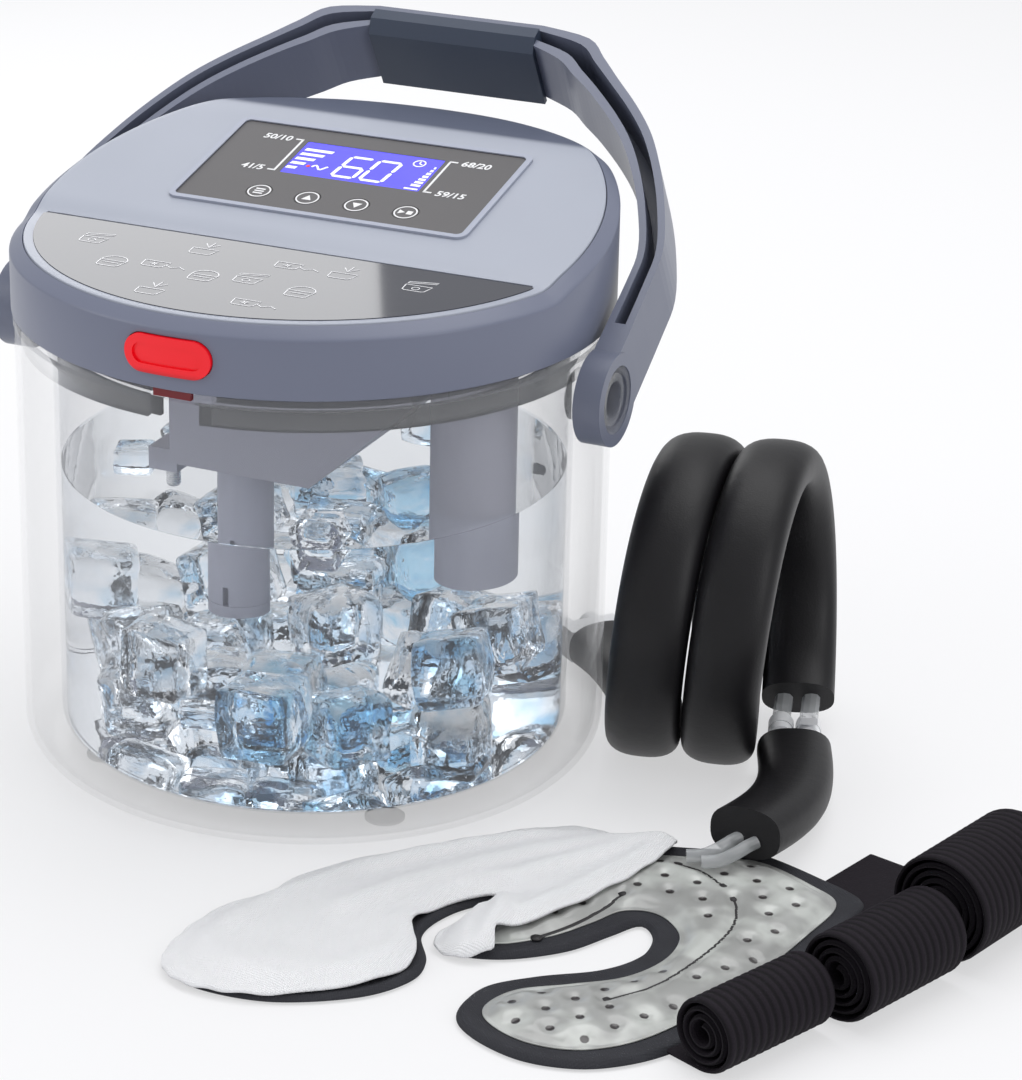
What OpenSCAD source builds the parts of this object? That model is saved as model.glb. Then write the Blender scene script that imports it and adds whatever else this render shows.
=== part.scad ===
// Hot and cold therapy machine: a clear double-walled ice tank with a lift-off
// pump lid, a swinging bail handle, and its hose, wrap pad, cover and straps.
// Millimetres, +Z up, origin at the centre of the tank's bottom face.
// The red release button faces -Y and the handle pivots on the X axis.

/* [Tank] */
// Outer radius of the clear tank
tank_r = 120; // [116:0.5:121]
// Height of the tank's outer wall
tank_h = 184; // [180:0.5:185]
// Thickness of the outer wall
tank_wall = 2.5; // [1.6:0.1:3.5]
// Radius of the rounded bottom edge
tank_fillet = 14; // [8:0.5:18]
// Gap from the tank's outer face to the liner's outer face
liner_gap = 15; // [12:0.5:18]
// Thickness of the inner liner
liner_wall = 2; // [1.2:0.1:3]
// Height of the liner's underside above the tank's underside
liner_z = 8; // [6:0.5:12]

/* [Lid] */
// How far the lid's skirt stands out past the tank's wall
lid_over = 1; // [0.6:0.1:1.6]
// Gap from the tank's wall up to the skirt, filled by the clear collar
lid_gap = 4.5; // [3.5:0.1:6]
// Height of the flat front deck above the skirt's lower edge
deck_up = 28.5; // [26:0.5:33]
// Slope of the control face, degrees
face_tilt = 12.5; // [9:0.5:15]
// Height of the control face at its middle, above the skirt's lower edge
face_up = 36.1; // [34:0.1:39]
// Inward width of the bevel round the top edge
bevel_in = 5.7; // [4:0.1:7]
// Drop of the bevel round the top edge
bevel_drop = 4.5; // [3:0.1:6]
// Thickness of the lid mouldings
lid_wall = 2.5; // [2:0.1:3]

/* [Controls] */
// Width of the dark control overlay
panel_w = 127; // [110:1:130]
// Length of the overlay along the slope
panel_l = 66; // [60:1:68]
// Width of the raised rim round the overlay
panel_rim = 2.6; // [2:0.1:3.5]
// Width of the display window
lcd_w = 62; // [50:1:70]
// Length of the display window along the slope
lcd_l = 27; // [20:1:30]
// Radius of a touch key
key_r = 5.2; // [4:0.1:6]
// Distance between neighbouring keys
key_pitch = 21.7; // [18:0.1:24]
// Radial play round a key
key_gap = 0.3; // [0.2:0.05:0.5]

/* [Release button] */
// Width of the red button
button_w = 36.5; // [30:0.5:42]
// Height of the red button
button_h = 15; // [12:0.5:18]
// Height of the button's centre above the skirt's lower edge
button_up = 13.5; // [11:0.5:13.5]
// How far the button stands out of the skirt
button_out = 1.4; // [0.8:0.1:2.4]
// Play round the button
button_gap = 0.35; // [0.25:0.05:0.6]

/* [Handle] */
// Depth of the handle pivots below the tank's rim
pivot_drop = 14; // [14:0.5:18]
// Place of the pivots along Y
pivot_y = -8; // [-12:0.5:0]
// Lean of the handle behind the vertical, degrees
handle_lean = 59.5; // [58:0.5:64]
// Outer radius of the pivot ring
ring_r = 18.5; // [17:0.5:20]
// Radius of the pivot hub on the tank
hub_r = 13.4; // [11:0.1:14]
// Running play between hub and ring
hub_play = 0.1; // [0.05:0.01:0.1]
// Gap between the tank's wall and the inner face of the pivot ring
ring_gap = 3.8; // [2:0.1:5]
// Thickness of the pivot ring along X
ring_t = 11.1; // [10:0.1:14]
// Depth of the handle band across its plane
band_depth = 30; // [26:1:32]
// How far the grip's inner edge lies out from the pivots, past the lid's radius
grip_reach = 45; // [44:1:51]
// Half length of the grip
grip_half = 38; // [34:1:42]

/* [Pump] */
// Depth of the pump housing's lower face below the tank's rim
pump_drop = 61; // [54:0.5:62]
// Length of the intake stem below the pump housing
stem_len = 57; // [40:1:60]
// Length of the return column below the skirt's lower edge
column_len = 96.5; // [80:0.5:110]
// Radius of the return column
column_r = 17; // [14:0.5:17]
// Middle of the pump along X
pump_x = -14; // [-16:1:-12]
// Radius of the impeller
impeller_r = 12; // [9:0.5:13]

/* [Hose] */
// Width of the flat foam hose sleeve
hose_w = 30; // [26:1:30]
// Thickness of the flat foam hose sleeve
hose_t = 20; // [17:1:20]
// Radius of the coil, to the middle of the sleeve
coil_r = 57; // [55:1:60]
// Sideways step of the coil for each turn
coil_pitch = 30.8; // [30.8:0.2:34]
// Outer radius of a water tube
tube_r = 3.8; // [3:0.1:4]

/* [Wrap pad] */
// Thickness of the backing sheet
backing_t = 2.2; // [1.5:0.1:3]
// Thickness of the water bladder
bladder_t = 4; // [3:0.5:5]
// Thickness of the fabric cover
cover_t = 1.2; // [0.8:0.1:2]
// Width of a strap
strap_w = 54; // [45:0.5:58]
// Thickness of a strap
strap_t = 2.2; // [1.6:0.1:2.4]
// Step of a rolled strap for each turn
strap_pitch = 3; // [2.8:0.1:3.4]

/* [Hidden] */

smooth = 96;
fine = 48;
fit = 0.1;                                   // slip gap between fixed parts
lid_r = tank_r + lid_over;
lid_z = tank_h + lid_gap;
liner_r = tank_r - liner_gap;
deck_z = lid_z + deck_up;
face_z = lid_z + face_up;
button_z = lid_z + button_up;
pivot_z = tank_h - pivot_drop;
ring_in = tank_r + ring_gap;
grip_in = lid_r + grip_reach;
pump_z = tank_h - pump_drop;
lid_span = lid_r + 9;                        // past the lid's edge, for cutting
screw_r = lid_r - 13;                        // circle of the lid's screws
column_x = liner_r - 25;
column_y = -20;
pump_right = column_x - column_r - 0.4;      // upper right edge of the pump housing
heater_x = pump_right - 46.6;
tongue_top = tank_h + 0.4;                   // lower end of the release tongue
cover_lip = 6.5;                             // depth of the top cover's side wall
tilt_slope = tan(face_tilt);
crease_y = -27;                              // back edge of the label
face_start_y = -20;
ridge_y = lid_r - 42;
rear_y = lid_r - 9;
rear_drop = 3.2;
cover_r = lid_r - bevel_in;                  // radius of the light top cover
pump_top = lid_z + 1.5;
rim_z = lid_z - 0.3;                         // top of the tank's collar
panel_y = 30.5;                              // middle of the panel, along the slope
panel_x = 1.5;
lcd_y = 39.5;
lcd_x = panel_x + 1;
key_y = 9;
key_row = [-1.5, -0.5, 0.5, 1.5];
panel_sunk = 0.5;
socket_turn = 50;                            // power socket round the lid, from +X
port_z = lid_z + 17;                         // height of the ports and the socket

function face_height(y) = face_z + y * tilt_slope;

// ---------------------------------------------------------------- helpers

// closed smooth loop through hand-placed corner points
function curve_at(a, b, c, d, t) =
    0.5 * (2 * b + (c - a) * t + (2 * a - 5 * b + 4 * c - d) * t * t
           + (3 * b - a - 3 * c + d) * t * t * t);
function smooth_loop(p, steps = 3) = [
    for (i = [0:len(p) - 1], k = [0:steps - 1])
        curve_at(p[(i + len(p) - 1) % len(p)], p[i], p[(i + 1) % len(p)],
                 p[(i + 2) % len(p)], k / steps)];

function unit(v) = v / norm(v);
function tangent(p, i) = unit(p[min(i + 1, len(p) - 1)] - p[max(i - 1, 0)]);

// solid swept along points; sides gives the direction of the section's width
module sweep(path, sides, w, t, n = 12) {
    rings = [for (i = [0:len(path) - 1])
        let (d = tangent(path, i),
             s = unit(sides[i] - d * (sides[i] * d)),
             u = cross(d, s))
        for (k = [0:n - 1])
            let (a = 360 * (k + 0.5) / n,
                 e = pow(pow(abs(cos(a)), 2.6) + pow(abs(sin(a)), 2.6), -1 / 2.6))
            path[i] + s * (cos(a) * e * w / 2) + u * (sin(a) * e * t / 2)];
    last = (len(path) - 1) * n;
    polyhedron(rings, concat(
        [[for (k = [0:n - 1]) k]],
        [for (i = [0:len(path) - 2], k = [0:n - 1])
            [i * n + k, (i + 1) * n + k, (i + 1) * n + (k + 1) % n, i * n + (k + 1) % n]],
        [[for (k = [n - 1:-1:0]) last + k]]), convexity = 10);
}

// round tube along a smoothed route; side is any direction the route never runs along
module tube_path(route, r, side, n = 10) {
    path = smooth_run(route, 2);
    sweep(path, [for (p = path) side], 2 * r, 2 * r, n);
}

module ring(r, hole, h, sides = smooth) {
    difference() {
        cylinder(r = r, h = h, $fn = sides);
        translate([0, 0, -1]) cylinder(r = hole, h = h + 2, $fn = sides);
    }
}

module rounded_plate(w, l, h, r) {
    linear_extrude(h) rounded_outline(w, l, r);
}

module rounded_outline(w, l, r) {
    square([w - 2 * r, l], center = true);
    square([w, l - 2 * r], center = true);
    for (x = [-1, 1], y = [-1, 1])
        translate([x * (w / 2 - r), y * (l / 2 - r)]) circle(r = r, $fn = 24);
}

// places a child on the sloped control face: x across, s up the slope, h out of it
module on_face(x, s, h) {
    translate([0, 0, face_z]) rotate([face_tilt, 0, 0]) translate([x, s, h]) children();
}

// ---------------------------------------------------------------- tank

module tank_profile(r, h, fillet) {
    intersection() {
        square([r, h]);
        union() {
            translate([0, fillet]) square([r, h]);
            square([r - fillet, h]);
            translate([r - fillet, fillet]) circle(r = fillet, $fn = fine);
        }
    }
}

module tank_outer_shell() {
    color([0.93, 0.94, 0.95, 0.35]) difference() {
        union() {
            rotate_extrude($fn = smooth) difference() {
                tank_profile(tank_r, tank_h, tank_fillet);
                translate([0, tank_wall])
                    tank_profile(tank_r - tank_wall, tank_h, tank_fillet - tank_wall);
            }
            for (side = [-1, 1]) tank_hub(side);
        }
        for (side = [-1, 1])
            translate([side * (tank_r - 3), pivot_y, pivot_z]) rotate([0, side * 90, 0])
                cylinder(r = hub_r - 3, h = 30, $fn = fine);
        foot_places() translate([0, 0, -1]) cylinder(r = 8 + fit, h = 2 + fit, $fn = fine);
    }
}

module tank_hub(side) {
    length = ring_in + ring_t - 0.4 - (tank_r - 2);
    translate([side * (tank_r - 2), pivot_y, pivot_z]) rotate([0, side * 90, 0])
        cylinder(r = hub_r, h = length, $fn = fine);
}

module pivot_cap(side) {
    inner = tank_r - 2.6;
    color([0.9, 0.92, 0.94, 0.5]) translate([side * inner, pivot_y, pivot_z])
        rotate([0, side * 90, 0]) difference() {
            cylinder(r = hub_r - 3 - fit, h = ring_in + ring_t - inner - 1.6, $fn = fine);
            translate([0, 0, 3]) cylinder(r = hub_r - 6, h = 30, $fn = fine);
        }
}

module pivot_cap_left() {
    pivot_cap(-1);
}

module pivot_cap_right() {
    pivot_cap(1);
}

module tank_inner_liner() {
    color([0.92, 0.95, 0.98, 0.35]) rotate_extrude($fn = smooth) difference() {
        translate([0, liner_z]) tank_profile(liner_r, tank_h - 6 - liner_z, 8);
        translate([0, liner_z + liner_wall])
            tank_profile(liner_r - liner_wall, tank_h, 8 - liner_wall);
    }
}

module tank_rim_collar() {
    inner_lip = liner_r - liner_wall - 1;
    color([0.85, 0.87, 0.89, 0.5]) difference() {
        rotate_extrude($fn = smooth) {
            translate([inner_lip, tank_h + fit])
                square([tank_r + 0.6 - inner_lip, rim_z - tank_h - fit]);
            translate([liner_r + fit, tank_h - 12]) square([2.5, 12.2]);
            translate([tank_r - tank_wall - 2.6, tank_h - 9]) square([2.5, 9.2]);
            translate([inner_lip, tank_h - 5.8]) square([liner_r + 2 - inner_lip, 1.9]);
            translate([inner_lip, tank_h - 5.8]) square([1.9, 6]);
        }
        // gap for the release tongue, right through the ring
        translate([-11, -tank_r - 3, tank_h - 15]) cube([22, 26, 30]);
        // narrow locating notches seen under the skirt
        for (a = [28, 52, 74, 118, 146, 206, 234, 286, 308, 332])
            rotate([0, 0, a - 90]) translate([tank_r - 1, -0.7, tank_h + 0.5])
                cube([4, 1.4, 8]);
    }
}

module foot_pads() {
    color([0.8, 0.82, 0.84]) foot_places() cylinder(r = 8, h = 1, $fn = fine);
}

module foot_places() {
    for (a = [45:90:315]) rotate([0, 0, a]) translate([tank_r - 30, 0, 0]) children();
}

// ---------------------------------------------------------------- lid

// side view of the lid's top, y against z, lowered by drop
module lid_side(drop, base) {
    polygon([[-lid_span, base], [-lid_span, deck_z - drop], [crease_y, deck_z - drop],
             [face_start_y, face_height(face_start_y) - drop],
             [ridge_y - 8, face_height(ridge_y - 8) - drop],
             [ridge_y, face_height(ridge_y) - 0.8 - drop],
             [rear_y, face_height(ridge_y) - rear_drop - drop],
             [lid_span, face_height(ridge_y) - rear_drop - 3 - drop], [lid_span, base]]);
}

module lid_block(r, drop, base) {
    intersection() {
        translate([0, 0, base - 5]) cylinder(r = r, h = 90, $fn = smooth);
        rotate([90, 0, 90]) translate([0, 0, -lid_span]) linear_extrude(2 * lid_span)
            lid_side(drop, base);
    }
}

module lid_skirt() {
    steps = 3;
    color([0.42, 0.44, 0.51]) difference() {
        union() {
            lid_block(lid_r, bevel_drop, lid_z);
            for (k = [1:steps])
                lid_block(lid_r - k * bevel_in / (steps + 1),
                          bevel_drop * (1 - k / (steps + 0.6)), lid_z);
        }
        lid_block(lid_r - lid_wall, bevel_drop + lid_wall, lid_z - 1);
        translate([0, 0, lid_z]) cylinder(r = cover_r + 0.2, h = 90, $fn = smooth);
        button_slot(button_w + 2 * button_gap, button_h + 2 * button_gap);
        for (x = [-30, 30]) port_hole(x, 8.2);
        at_socket() translate([0, 0, -30]) cylinder(r = 5.7, h = 40, $fn = fine);
    }
}

module lid_top_cover() {
    color([0.72, 0.74, 0.79]) difference() {
        lid_block(cover_r, 0, deck_z - 12);
        lid_block(cover_r - lid_wall, lid_wall, deck_z - 13);
        // everything below a shallow side wall is open
        lid_block(2 * lid_r, cover_lip, deck_z - 14);
        label_outline(0.8, fit);
        on_face(panel_x, panel_y, -panel_sunk)
            rounded_plate(panel_w + 2 * panel_rim, panel_l + 2 * panel_rim, 5, 4.6);
        on_face(lcd_x, lcd_y, -8) rounded_plate(lcd_w + 3, lcd_l + 3, 12, 2);
        for (k = key_row)
            on_face(panel_x + 2 + k * key_pitch, key_y, -8)
                cylinder(r = key_r + 1.5, h = 12, $fn = fine);
    }
}

module label_outline(sunk, play) {
    intersection() {
        translate([0, 0, deck_z - sunk]) cylinder(r = cover_r - 4 + play, h = 4, $fn = smooth);
        translate([-lid_span, -lid_span, deck_z - sunk])
            cube([2 * lid_span, lid_span + crease_y + play, 4]);
    }
}

module label_plate() {
    color([0.6, 0.61, 0.66]) intersection() {
        label_outline(0.7, 0);
        translate([0, 0, deck_z - 2]) cylinder(r = lid_span, h = 2.3, $fn = smooth);
    }
}

module lid_underplate() {
    color([0.45, 0.46, 0.52]) difference() {
        union() {
            translate([0, 0, lid_z + 1]) cylinder(r = lid_r - lid_wall - 0.2, h = 2.2, $fn = smooth);
            translate([0, 0, lid_z - 5]) cylinder(r = liner_r - liner_wall - 2.5, h = 7, $fn = smooth);
            for (a = [0:60:300]) rotate([0, 0, a]) translate([screw_r, 0, lid_z + 2])
                cylinder(r = 4, h = deck_z - lid_z - 11, $fn = fine);
            // seat of the button's spring
            translate([-8, -lid_r + 16.6, lid_z + 2]) cube([16, 2.4, 18]);
        }
        // the well is hollow from above
        translate([0, 0, lid_z - 2.6]) cylinder(r = liner_r - liner_wall - 5, h = 12, $fn = smooth);
        translate([-47, -39, lid_z - 9]) cube([pump_right + 53.4, 80, 12]);
        translate([-12, -tank_r - 3, lid_z - 3]) cube([24, 17.5, 12]);
        for (a = [0:60:300]) rotate([0, 0, a]) translate([screw_r, 0, lid_z - 8])
            cylinder(r = 1.5, h = 60, $fn = 24);
        translate([column_x, column_y, lid_z - 9])
            cylinder(r = column_r - 1.8, h = 12, $fn = fine);
    }
    // pillars of the main board
    color([0.45, 0.46, 0.52]) for (x = [-34, 34], y = [50, 84]) translate([x, y, lid_z - 3])
        cylinder(r = 3, h = 9 - fit, $fn = fine);
}

module lid_seal() {
    color([0.85, 0.85, 0.87]) translate([0, 0, lid_z - 4])
        ring(liner_r - liner_wall - 1.1, liner_r - liner_wall - 2.4, 3);
}

module lid_screws() {
    color([0.7, 0.7, 0.72]) for (a = [0:60:300])
        rotate([0, 0, a]) translate([screw_r, 0, lid_z + 0.4]) {
            translate([0, 0, -0.2]) cylinder(r = 2.9, h = 0.7, $fn = 24);
            cylinder(r = 1.45, h = 14, $fn = 24);
        }
}

// ---------------------------------------------------------------- control panel

module panel_rim_frame() {
    color([0.55, 0.58, 0.65]) on_face(panel_x, panel_y, fit - panel_sunk) difference() {
        rounded_plate(panel_w + 2 * panel_rim - 0.2, panel_l + 2 * panel_rim - 0.2, 1.5, 4.5);
        translate([0, 0, -1]) rounded_plate(panel_w + 0.2, panel_l + 0.2, 5, 2.6);
    }
}

module panel_overlay() {
    color([0.42, 0.41, 0.42]) on_face(panel_x, panel_y, fit - panel_sunk) difference() {
        rounded_plate(panel_w, panel_l, 0.9, 2.5);
        translate([lcd_x - panel_x, lcd_y - panel_y, -1]) rounded_plate(lcd_w, lcd_l, 4, 0.8);
        for (k = key_row)
            translate([2 + k * key_pitch, key_y - panel_y, -1])
                cylinder(r = key_r + key_gap, h = 4, $fn = fine);
    }
}

module lcd_window() {
    color([0.3, 0.28, 0.95]) on_face(lcd_x, lcd_y, fit - panel_sunk)
        rounded_plate(lcd_w - 0.2, lcd_l - 0.2, 0.8, 0.7);
}

module lcd_module() {
    color([0.75, 0.76, 0.75]) on_face(lcd_x, lcd_y, -8.2)
        rounded_plate(lcd_w + 2, lcd_l + 2, 7.6, 1.5);
}

module control_board() {
    board_w = panel_w - 9;
    board_l = panel_l - 6;
    color([0.1, 0.35, 0.2]) on_face(panel_x, panel_y - 2, -10) difference() {
        rounded_plate(board_w, board_l, 1.6, 2);
        for (x = [-1, 1], y = [-1, 1])
            translate([x * (board_w / 2 - 4), y * (board_l / 2 - 4), -1]) cylinder(r = 1.6, h = 4, $fn = 24);
    }
}

module touch_key(place) {
    color([0.45, 0.44, 0.45])
        on_face(panel_x + 2 + key_row[place] * key_pitch, key_y, 0) {
            translate([0, 0, -0.3]) cylinder(r = key_r, h = 0.75, $fn = fine);
            translate([0, 0, -7.6]) cylinder(r = 2, h = 7.5, $fn = fine);
        }
}

module key_mode() {
    touch_key(0);
}

module key_up() {
    touch_key(1);
}

module key_down() {
    touch_key(2);
}

module key_run() {
    touch_key(3);
}

// ---------------------------------------------------------------- release button

module stadium(w, h) {
    square([w - h, h], center = true);
    for (x = [-1, 1]) translate([x * (w - h) / 2, 0]) circle(r = h / 2, $fn = fine);
}

module button_slot(w, h) {
    translate([0, -tank_r + 20, button_z]) rotate([90, 0, 0]) linear_extrude(40) stadium(w, h);
}

module release_button() {
    face_r = lid_r + button_out;
    color([0.98, 0.06, 0.18]) {
        intersection() {
            difference() {
                button_slot(button_w, button_h);
                translate([0, 0, lid_z - 10]) cylinder(r = face_r - 7, h = 60, $fn = smooth);
                difference() {
                    button_slot(button_w - 7, button_h - 7);
                    translate([0, 0, lid_z - 10]) cylinder(r = face_r - 1, h = 60, $fn = smooth);
                }
            }
            translate([0, 0, lid_z - 10]) cylinder(r = face_r, h = 60, $fn = smooth);
        }
        // tongue that reaches down to the tank's collar
        translate([-8, -lid_r + 3.2, tongue_top]) cube([16, 2.2, button_z - tongue_top]);
        translate([0, -lid_r + 4, button_z]) rotate([-90, 0, 0]) cylinder(r = 2, h = 6, $fn = fine);
    }
}

// at its pressed length, so that the button can travel
module button_spring() {
    turns = 5;
    steps = 12;
    start = -lid_r + 10;
    length = 6.2;
    color([0.75, 0.76, 0.78])
        sweep([for (i = [0:round(turns * steps)])
                  let (a = 360 * i / steps)
                  [3.1 * cos(a), start + length * i / (turns * steps), button_z + 3.1 * sin(a)]],
              [for (i = [0:turns * steps]) [0, 1, 0]], 0.7, 0.7, 6);
}

// ---------------------------------------------------------------- pump and water path

module pump_outline(play) {
    polygon([[-46 + play, pump_top], [-46 + play, pump_z + 3 + play], [-42 + play, pump_z + play],
             [17 - play, pump_z + play], [pump_right - 1.1 - play, pump_z + 41 + play],
             [pump_right - play, pump_top]]);
}

module pump_housing() {
    wall = 2.5;
    color([0.51, 0.51, 0.56]) difference() {
        union() {
            translate([0, 40, 0]) rotate([90, 0, 0]) linear_extrude(78) pump_outline(0);
            translate([-58, -34, pump_z - 8]) cube([13, 16, 12]);
        }
        translate([0, 40 - wall, 0]) rotate([90, 0, 0]) linear_extrude(78 - 2 * wall) pump_outline(wall);
        translate([-44, -36, pump_top - 3]) cube([pump_right + 41.4, 73, 8]);
        translate([pump_x - 7, -20, pump_z - 9]) cylinder(r = 6.2, h = 16, $fn = fine);
        translate([-51, -26, pump_z - 9]) cylinder(r = 3.2, h = 9, $fn = fine);
    }
}

module pump_volute() {
    color([0.25, 0.25, 0.28]) translate([pump_x, 8, pump_z + 2.6]) difference() {
        union() {
            cylinder(r = 17, h = 13, $fn = fine);
            translate([0, 11, 6.5]) rotate([0, 90, 0]) cylinder(r = 5, h = 24, $fn = fine);
        }
        translate([0, 0, 2]) cylinder(r = impeller_r + 2, h = 9, $fn = fine);
        translate([0, 0, 10]) cylinder(r = 2.05, h = 5, $fn = fine);
        translate([2, 11, 6.5]) rotate([0, 90, 0]) cylinder(r = 3, h = 30, $fn = fine);
        translate([-30, 0, 6]) rotate([0, 90, 0]) cylinder(r = 3, h = 20, $fn = fine);
    }
}

module impeller() {
    color([0.85, 0.85, 0.87]) translate([pump_x, 8, pump_z + 5.2]) {
        cylinder(r = impeller_r, h = 1.2, $fn = fine);
        cylinder(r = 3.5, h = 7, $fn = fine);
        cylinder(r = 2, h = 9.8, $fn = fine);
        for (a = [0:60:300]) rotate([0, 0, a]) translate([2.5, -0.6, 0])
            cube([impeller_r - 3.2, 1.2, 6.5]);
    }
}

module pump_motor() {
    color([0.7, 0.71, 0.73]) translate([pump_x, 8, pump_z + 15.8]) {
        cylinder(r = 15, h = 26, $fn = fine);
        cylinder(r = 8, h = 29, $fn = fine);
        for (x = [-5, 5]) translate([x, 0, 28]) cylinder(r = 1, h = 5, $fn = 16);
    }
}

module heater_block() {
    color([0.8, 0.8, 0.82]) translate([heater_x, -24, pump_z + 40]) difference() {
        cube([34, 40, 14]);
        for (y = [10, 30]) translate([-1, y, 7]) rotate([0, 90, 0]) cylinder(r = 3.6, h = 36, $fn = fine);
    }
}

module intake_stem() {
    top = pump_z - 0.2;
    foot = pump_z - stem_len;
    color([0.46, 0.46, 0.52]) translate([pump_x - 7, -20, 0]) difference() {
        union() {
            translate([0, 0, foot]) cylinder(r = 11.5, h = top - foot, $fn = fine);
            translate([0, 0, top - 1]) cylinder(r = 6, h = 10, $fn = fine);
        }
        translate([0, 0, foot - 6]) cylinder(r = 8.5, h = top - foot - 6, $fn = fine);
        translate([0, 0, foot - 6]) cylinder(r = 3.2, h = stem_len + 33, $fn = fine);
        translate([-1.2, -14, foot - 6]) cube([2.4, 28, 14]);
    }
}

module intake_strainer() {
    color([0.3, 0.3, 0.34]) translate([pump_x - 7, -20, pump_z - stem_len - 5]) difference() {
        union() {
            cylinder(r = 11.5, h = 4.8, $fn = fine);
            cylinder(r = 8.3, h = 12, $fn = fine);
        }
        translate([0, 0, 2]) cylinder(r = 6.5, h = 12, $fn = fine);
        for (x = [-4:2:4], y = [-4:2:4]) if (x * x + y * y < 30)
            translate([x, y, -1]) cylinder(r = 0.6, h = 5, $fn = 16);
    }
}

module return_column() {
    foot = lid_z - column_len;
    color([0.46, 0.46, 0.52]) translate([column_x, column_y, 0]) difference() {
        union() {
            translate([0, 0, foot]) cylinder(r = column_r, h = column_len - 5.4, $fn = fine);
            translate([0, 0, lid_z - 6]) cylinder(r = column_r - 2, h = 14, $fn = fine);
        }
        translate([0, 0, foot + 2.5]) cylinder(r = column_r - 3, h = column_len + 3.5, $fn = fine);
        translate([0, 0, foot - 2]) cylinder(r = 4, h = 10, $fn = fine);
    }
}

module temperature_probe() {
    color([0.8, 0.8, 0.82]) translate([-51, -26, pump_z - 20]) {
        cylinder(r = 3, h = 20, $fn = fine);
        sphere(r = 3, $fn = fine);
    }
}

module suction_hose() {
    x = pump_x - 7;
    color([0.9, 0.9, 0.92, 0.6]) tube_path([
        [x, -20, pump_z + 9.5], [x, -20, pump_z + 15], [x - 3, -19, pump_z + 20],
        [x - 10, -14, pump_z + 23], [x - 17, -6, pump_z + 22], [x - 19, 2, pump_z + 17],
        [x - 18.4, 6, pump_z + 12], [x - 15, 8, pump_z + 8.7], [x - 10.4, 8, pump_z + 8.6]],
        2.8, [0.7, 0.7, 0]);
}

module delivery_hose() {
    color([0.9, 0.9, 0.92, 0.6]) tube_path([
        [10.6, 19, pump_z + 9.1], [14, 19, pump_z + 9.3], [19, 19, pump_z + 12],
        [22, 19, pump_z + 19], [18, 19, pump_z + 29], [10, 15, pump_z + 38],
        [heater_x - 10, 8, pump_z + 44], [heater_x - 7, 6, pump_z + 46.8],
        [heater_x - 0.4, 6, pump_z + 47]], 2.8, [0, 1, 0]);
}

module port_hole(x, r) {
    translate([x, lid_r - 21, port_z]) rotate([-90, 0, 0]) cylinder(r = r, h = 40, $fn = fine);
}

module hose_port(x) {
    y = sqrt(lid_r * lid_r - x * x);
    color([0.9, 0.91, 0.92]) translate([x, y, port_z]) rotate([-90, 0, 0]) difference() {
        union() {
            translate([0, 0, -18]) cylinder(r = 8, h = 22, $fn = fine);
            translate([0, 0, 3]) cylinder(r = 9.6, h = 2.4, $fn = fine);
            translate([0, 0, -22]) cylinder(r = 4.2, h = 6, $fn = fine);
        }
        translate([0, 0, -10]) cylinder(r = 5.5, h = 30, $fn = fine);
        translate([0, 0, -30]) cylinder(r = 2.6, h = 40, $fn = fine);
    }
}

module supply_port() {
    hose_port(30);
}

module return_port() {
    hose_port(-30);
}

// on the skirt's outer face, its axis pointing outwards
module at_socket() {
    rotate([0, 0, socket_turn]) translate([lid_r, 0, port_z]) rotate([0, 90, 0]) children();
}

module power_socket() {
    color([0.08, 0.08, 0.09]) at_socket() {
        difference() {
            union() {
                translate([0, 0, -12]) cylinder(r = 5.5, h = 12.5, $fn = fine);
                translate([0, 0, fit]) cylinder(r = 7, h = 1.2, $fn = fine);
            }
            translate([0, 0, -7]) cylinder(r = 2.8, h = 20, $fn = fine);
        }
        translate([0, 0, -7.5]) cylinder(r = 1, h = 9, $fn = 24);
    }
}

module main_board() {
    color([0.12, 0.38, 0.2]) translate([-40, 44, lid_z + 6]) {
        cube([80, 46, 1.6]);
        translate([6, 8, 1.5]) cube([14, 16, 9]);
        translate([30, 20, 1.5]) cylinder(r = 5, h = 12, $fn = fine);
        translate([56, 8, 1.5]) cube([16, 12, 7]);
    }
}

module buzzer() {
    color([0.1, 0.1, 0.11]) translate([-14, 78, lid_z + 7.8]) difference() {
        cylinder(r = 6, h = 8, $fn = fine);
        translate([0, 0, 4]) cylinder(r = 1, h = 6, $fn = 24);
    }
}

// ---------------------------------------------------------------- handle

// inner edge of the bail from the ring to the grip: distance from the middle, distance out
bail_inner = [[ring_in, 0], [ring_in, grip_in - 120], [ring_in - 1.4, grip_in - 102],
              [ring_in - 8.8, grip_in - 82], [ring_in - 17.7, grip_in - 64],
              [ring_in - 27.8, grip_in - 48], [ring_in - 38.8, grip_in - 35],
              [ring_in - 52.3, grip_in - 22], [ring_in - 62.8, grip_in - 13.5],
              [ring_in - 71.8, grip_in - 6], [grip_half, grip_in]];
groove_depth = 21;                    // of the channel down the front of the bail
// thickness of the bail across each of those points
bail_thick = [ring_t, 9.9, 10.1, 10.7, 11.4, 12.2, 12.6, 13.2, 15, 16.2, 12];

function bail_normal(i) =
    let (a = bail_inner[max(i - 1, 0)], b = bail_inner[min(i + 1, len(bail_inner) - 1)])
    i == 0 ? [1, 0] : (i == len(bail_inner) - 1 ? [0, 1] : unit([b[1] - a[1], a[0] - b[0]]));
function bail_edge(part) = [for (i = [0:len(bail_inner) - 1])
    bail_inner[i] + bail_normal(i) * bail_thick[i] * part];
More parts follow.
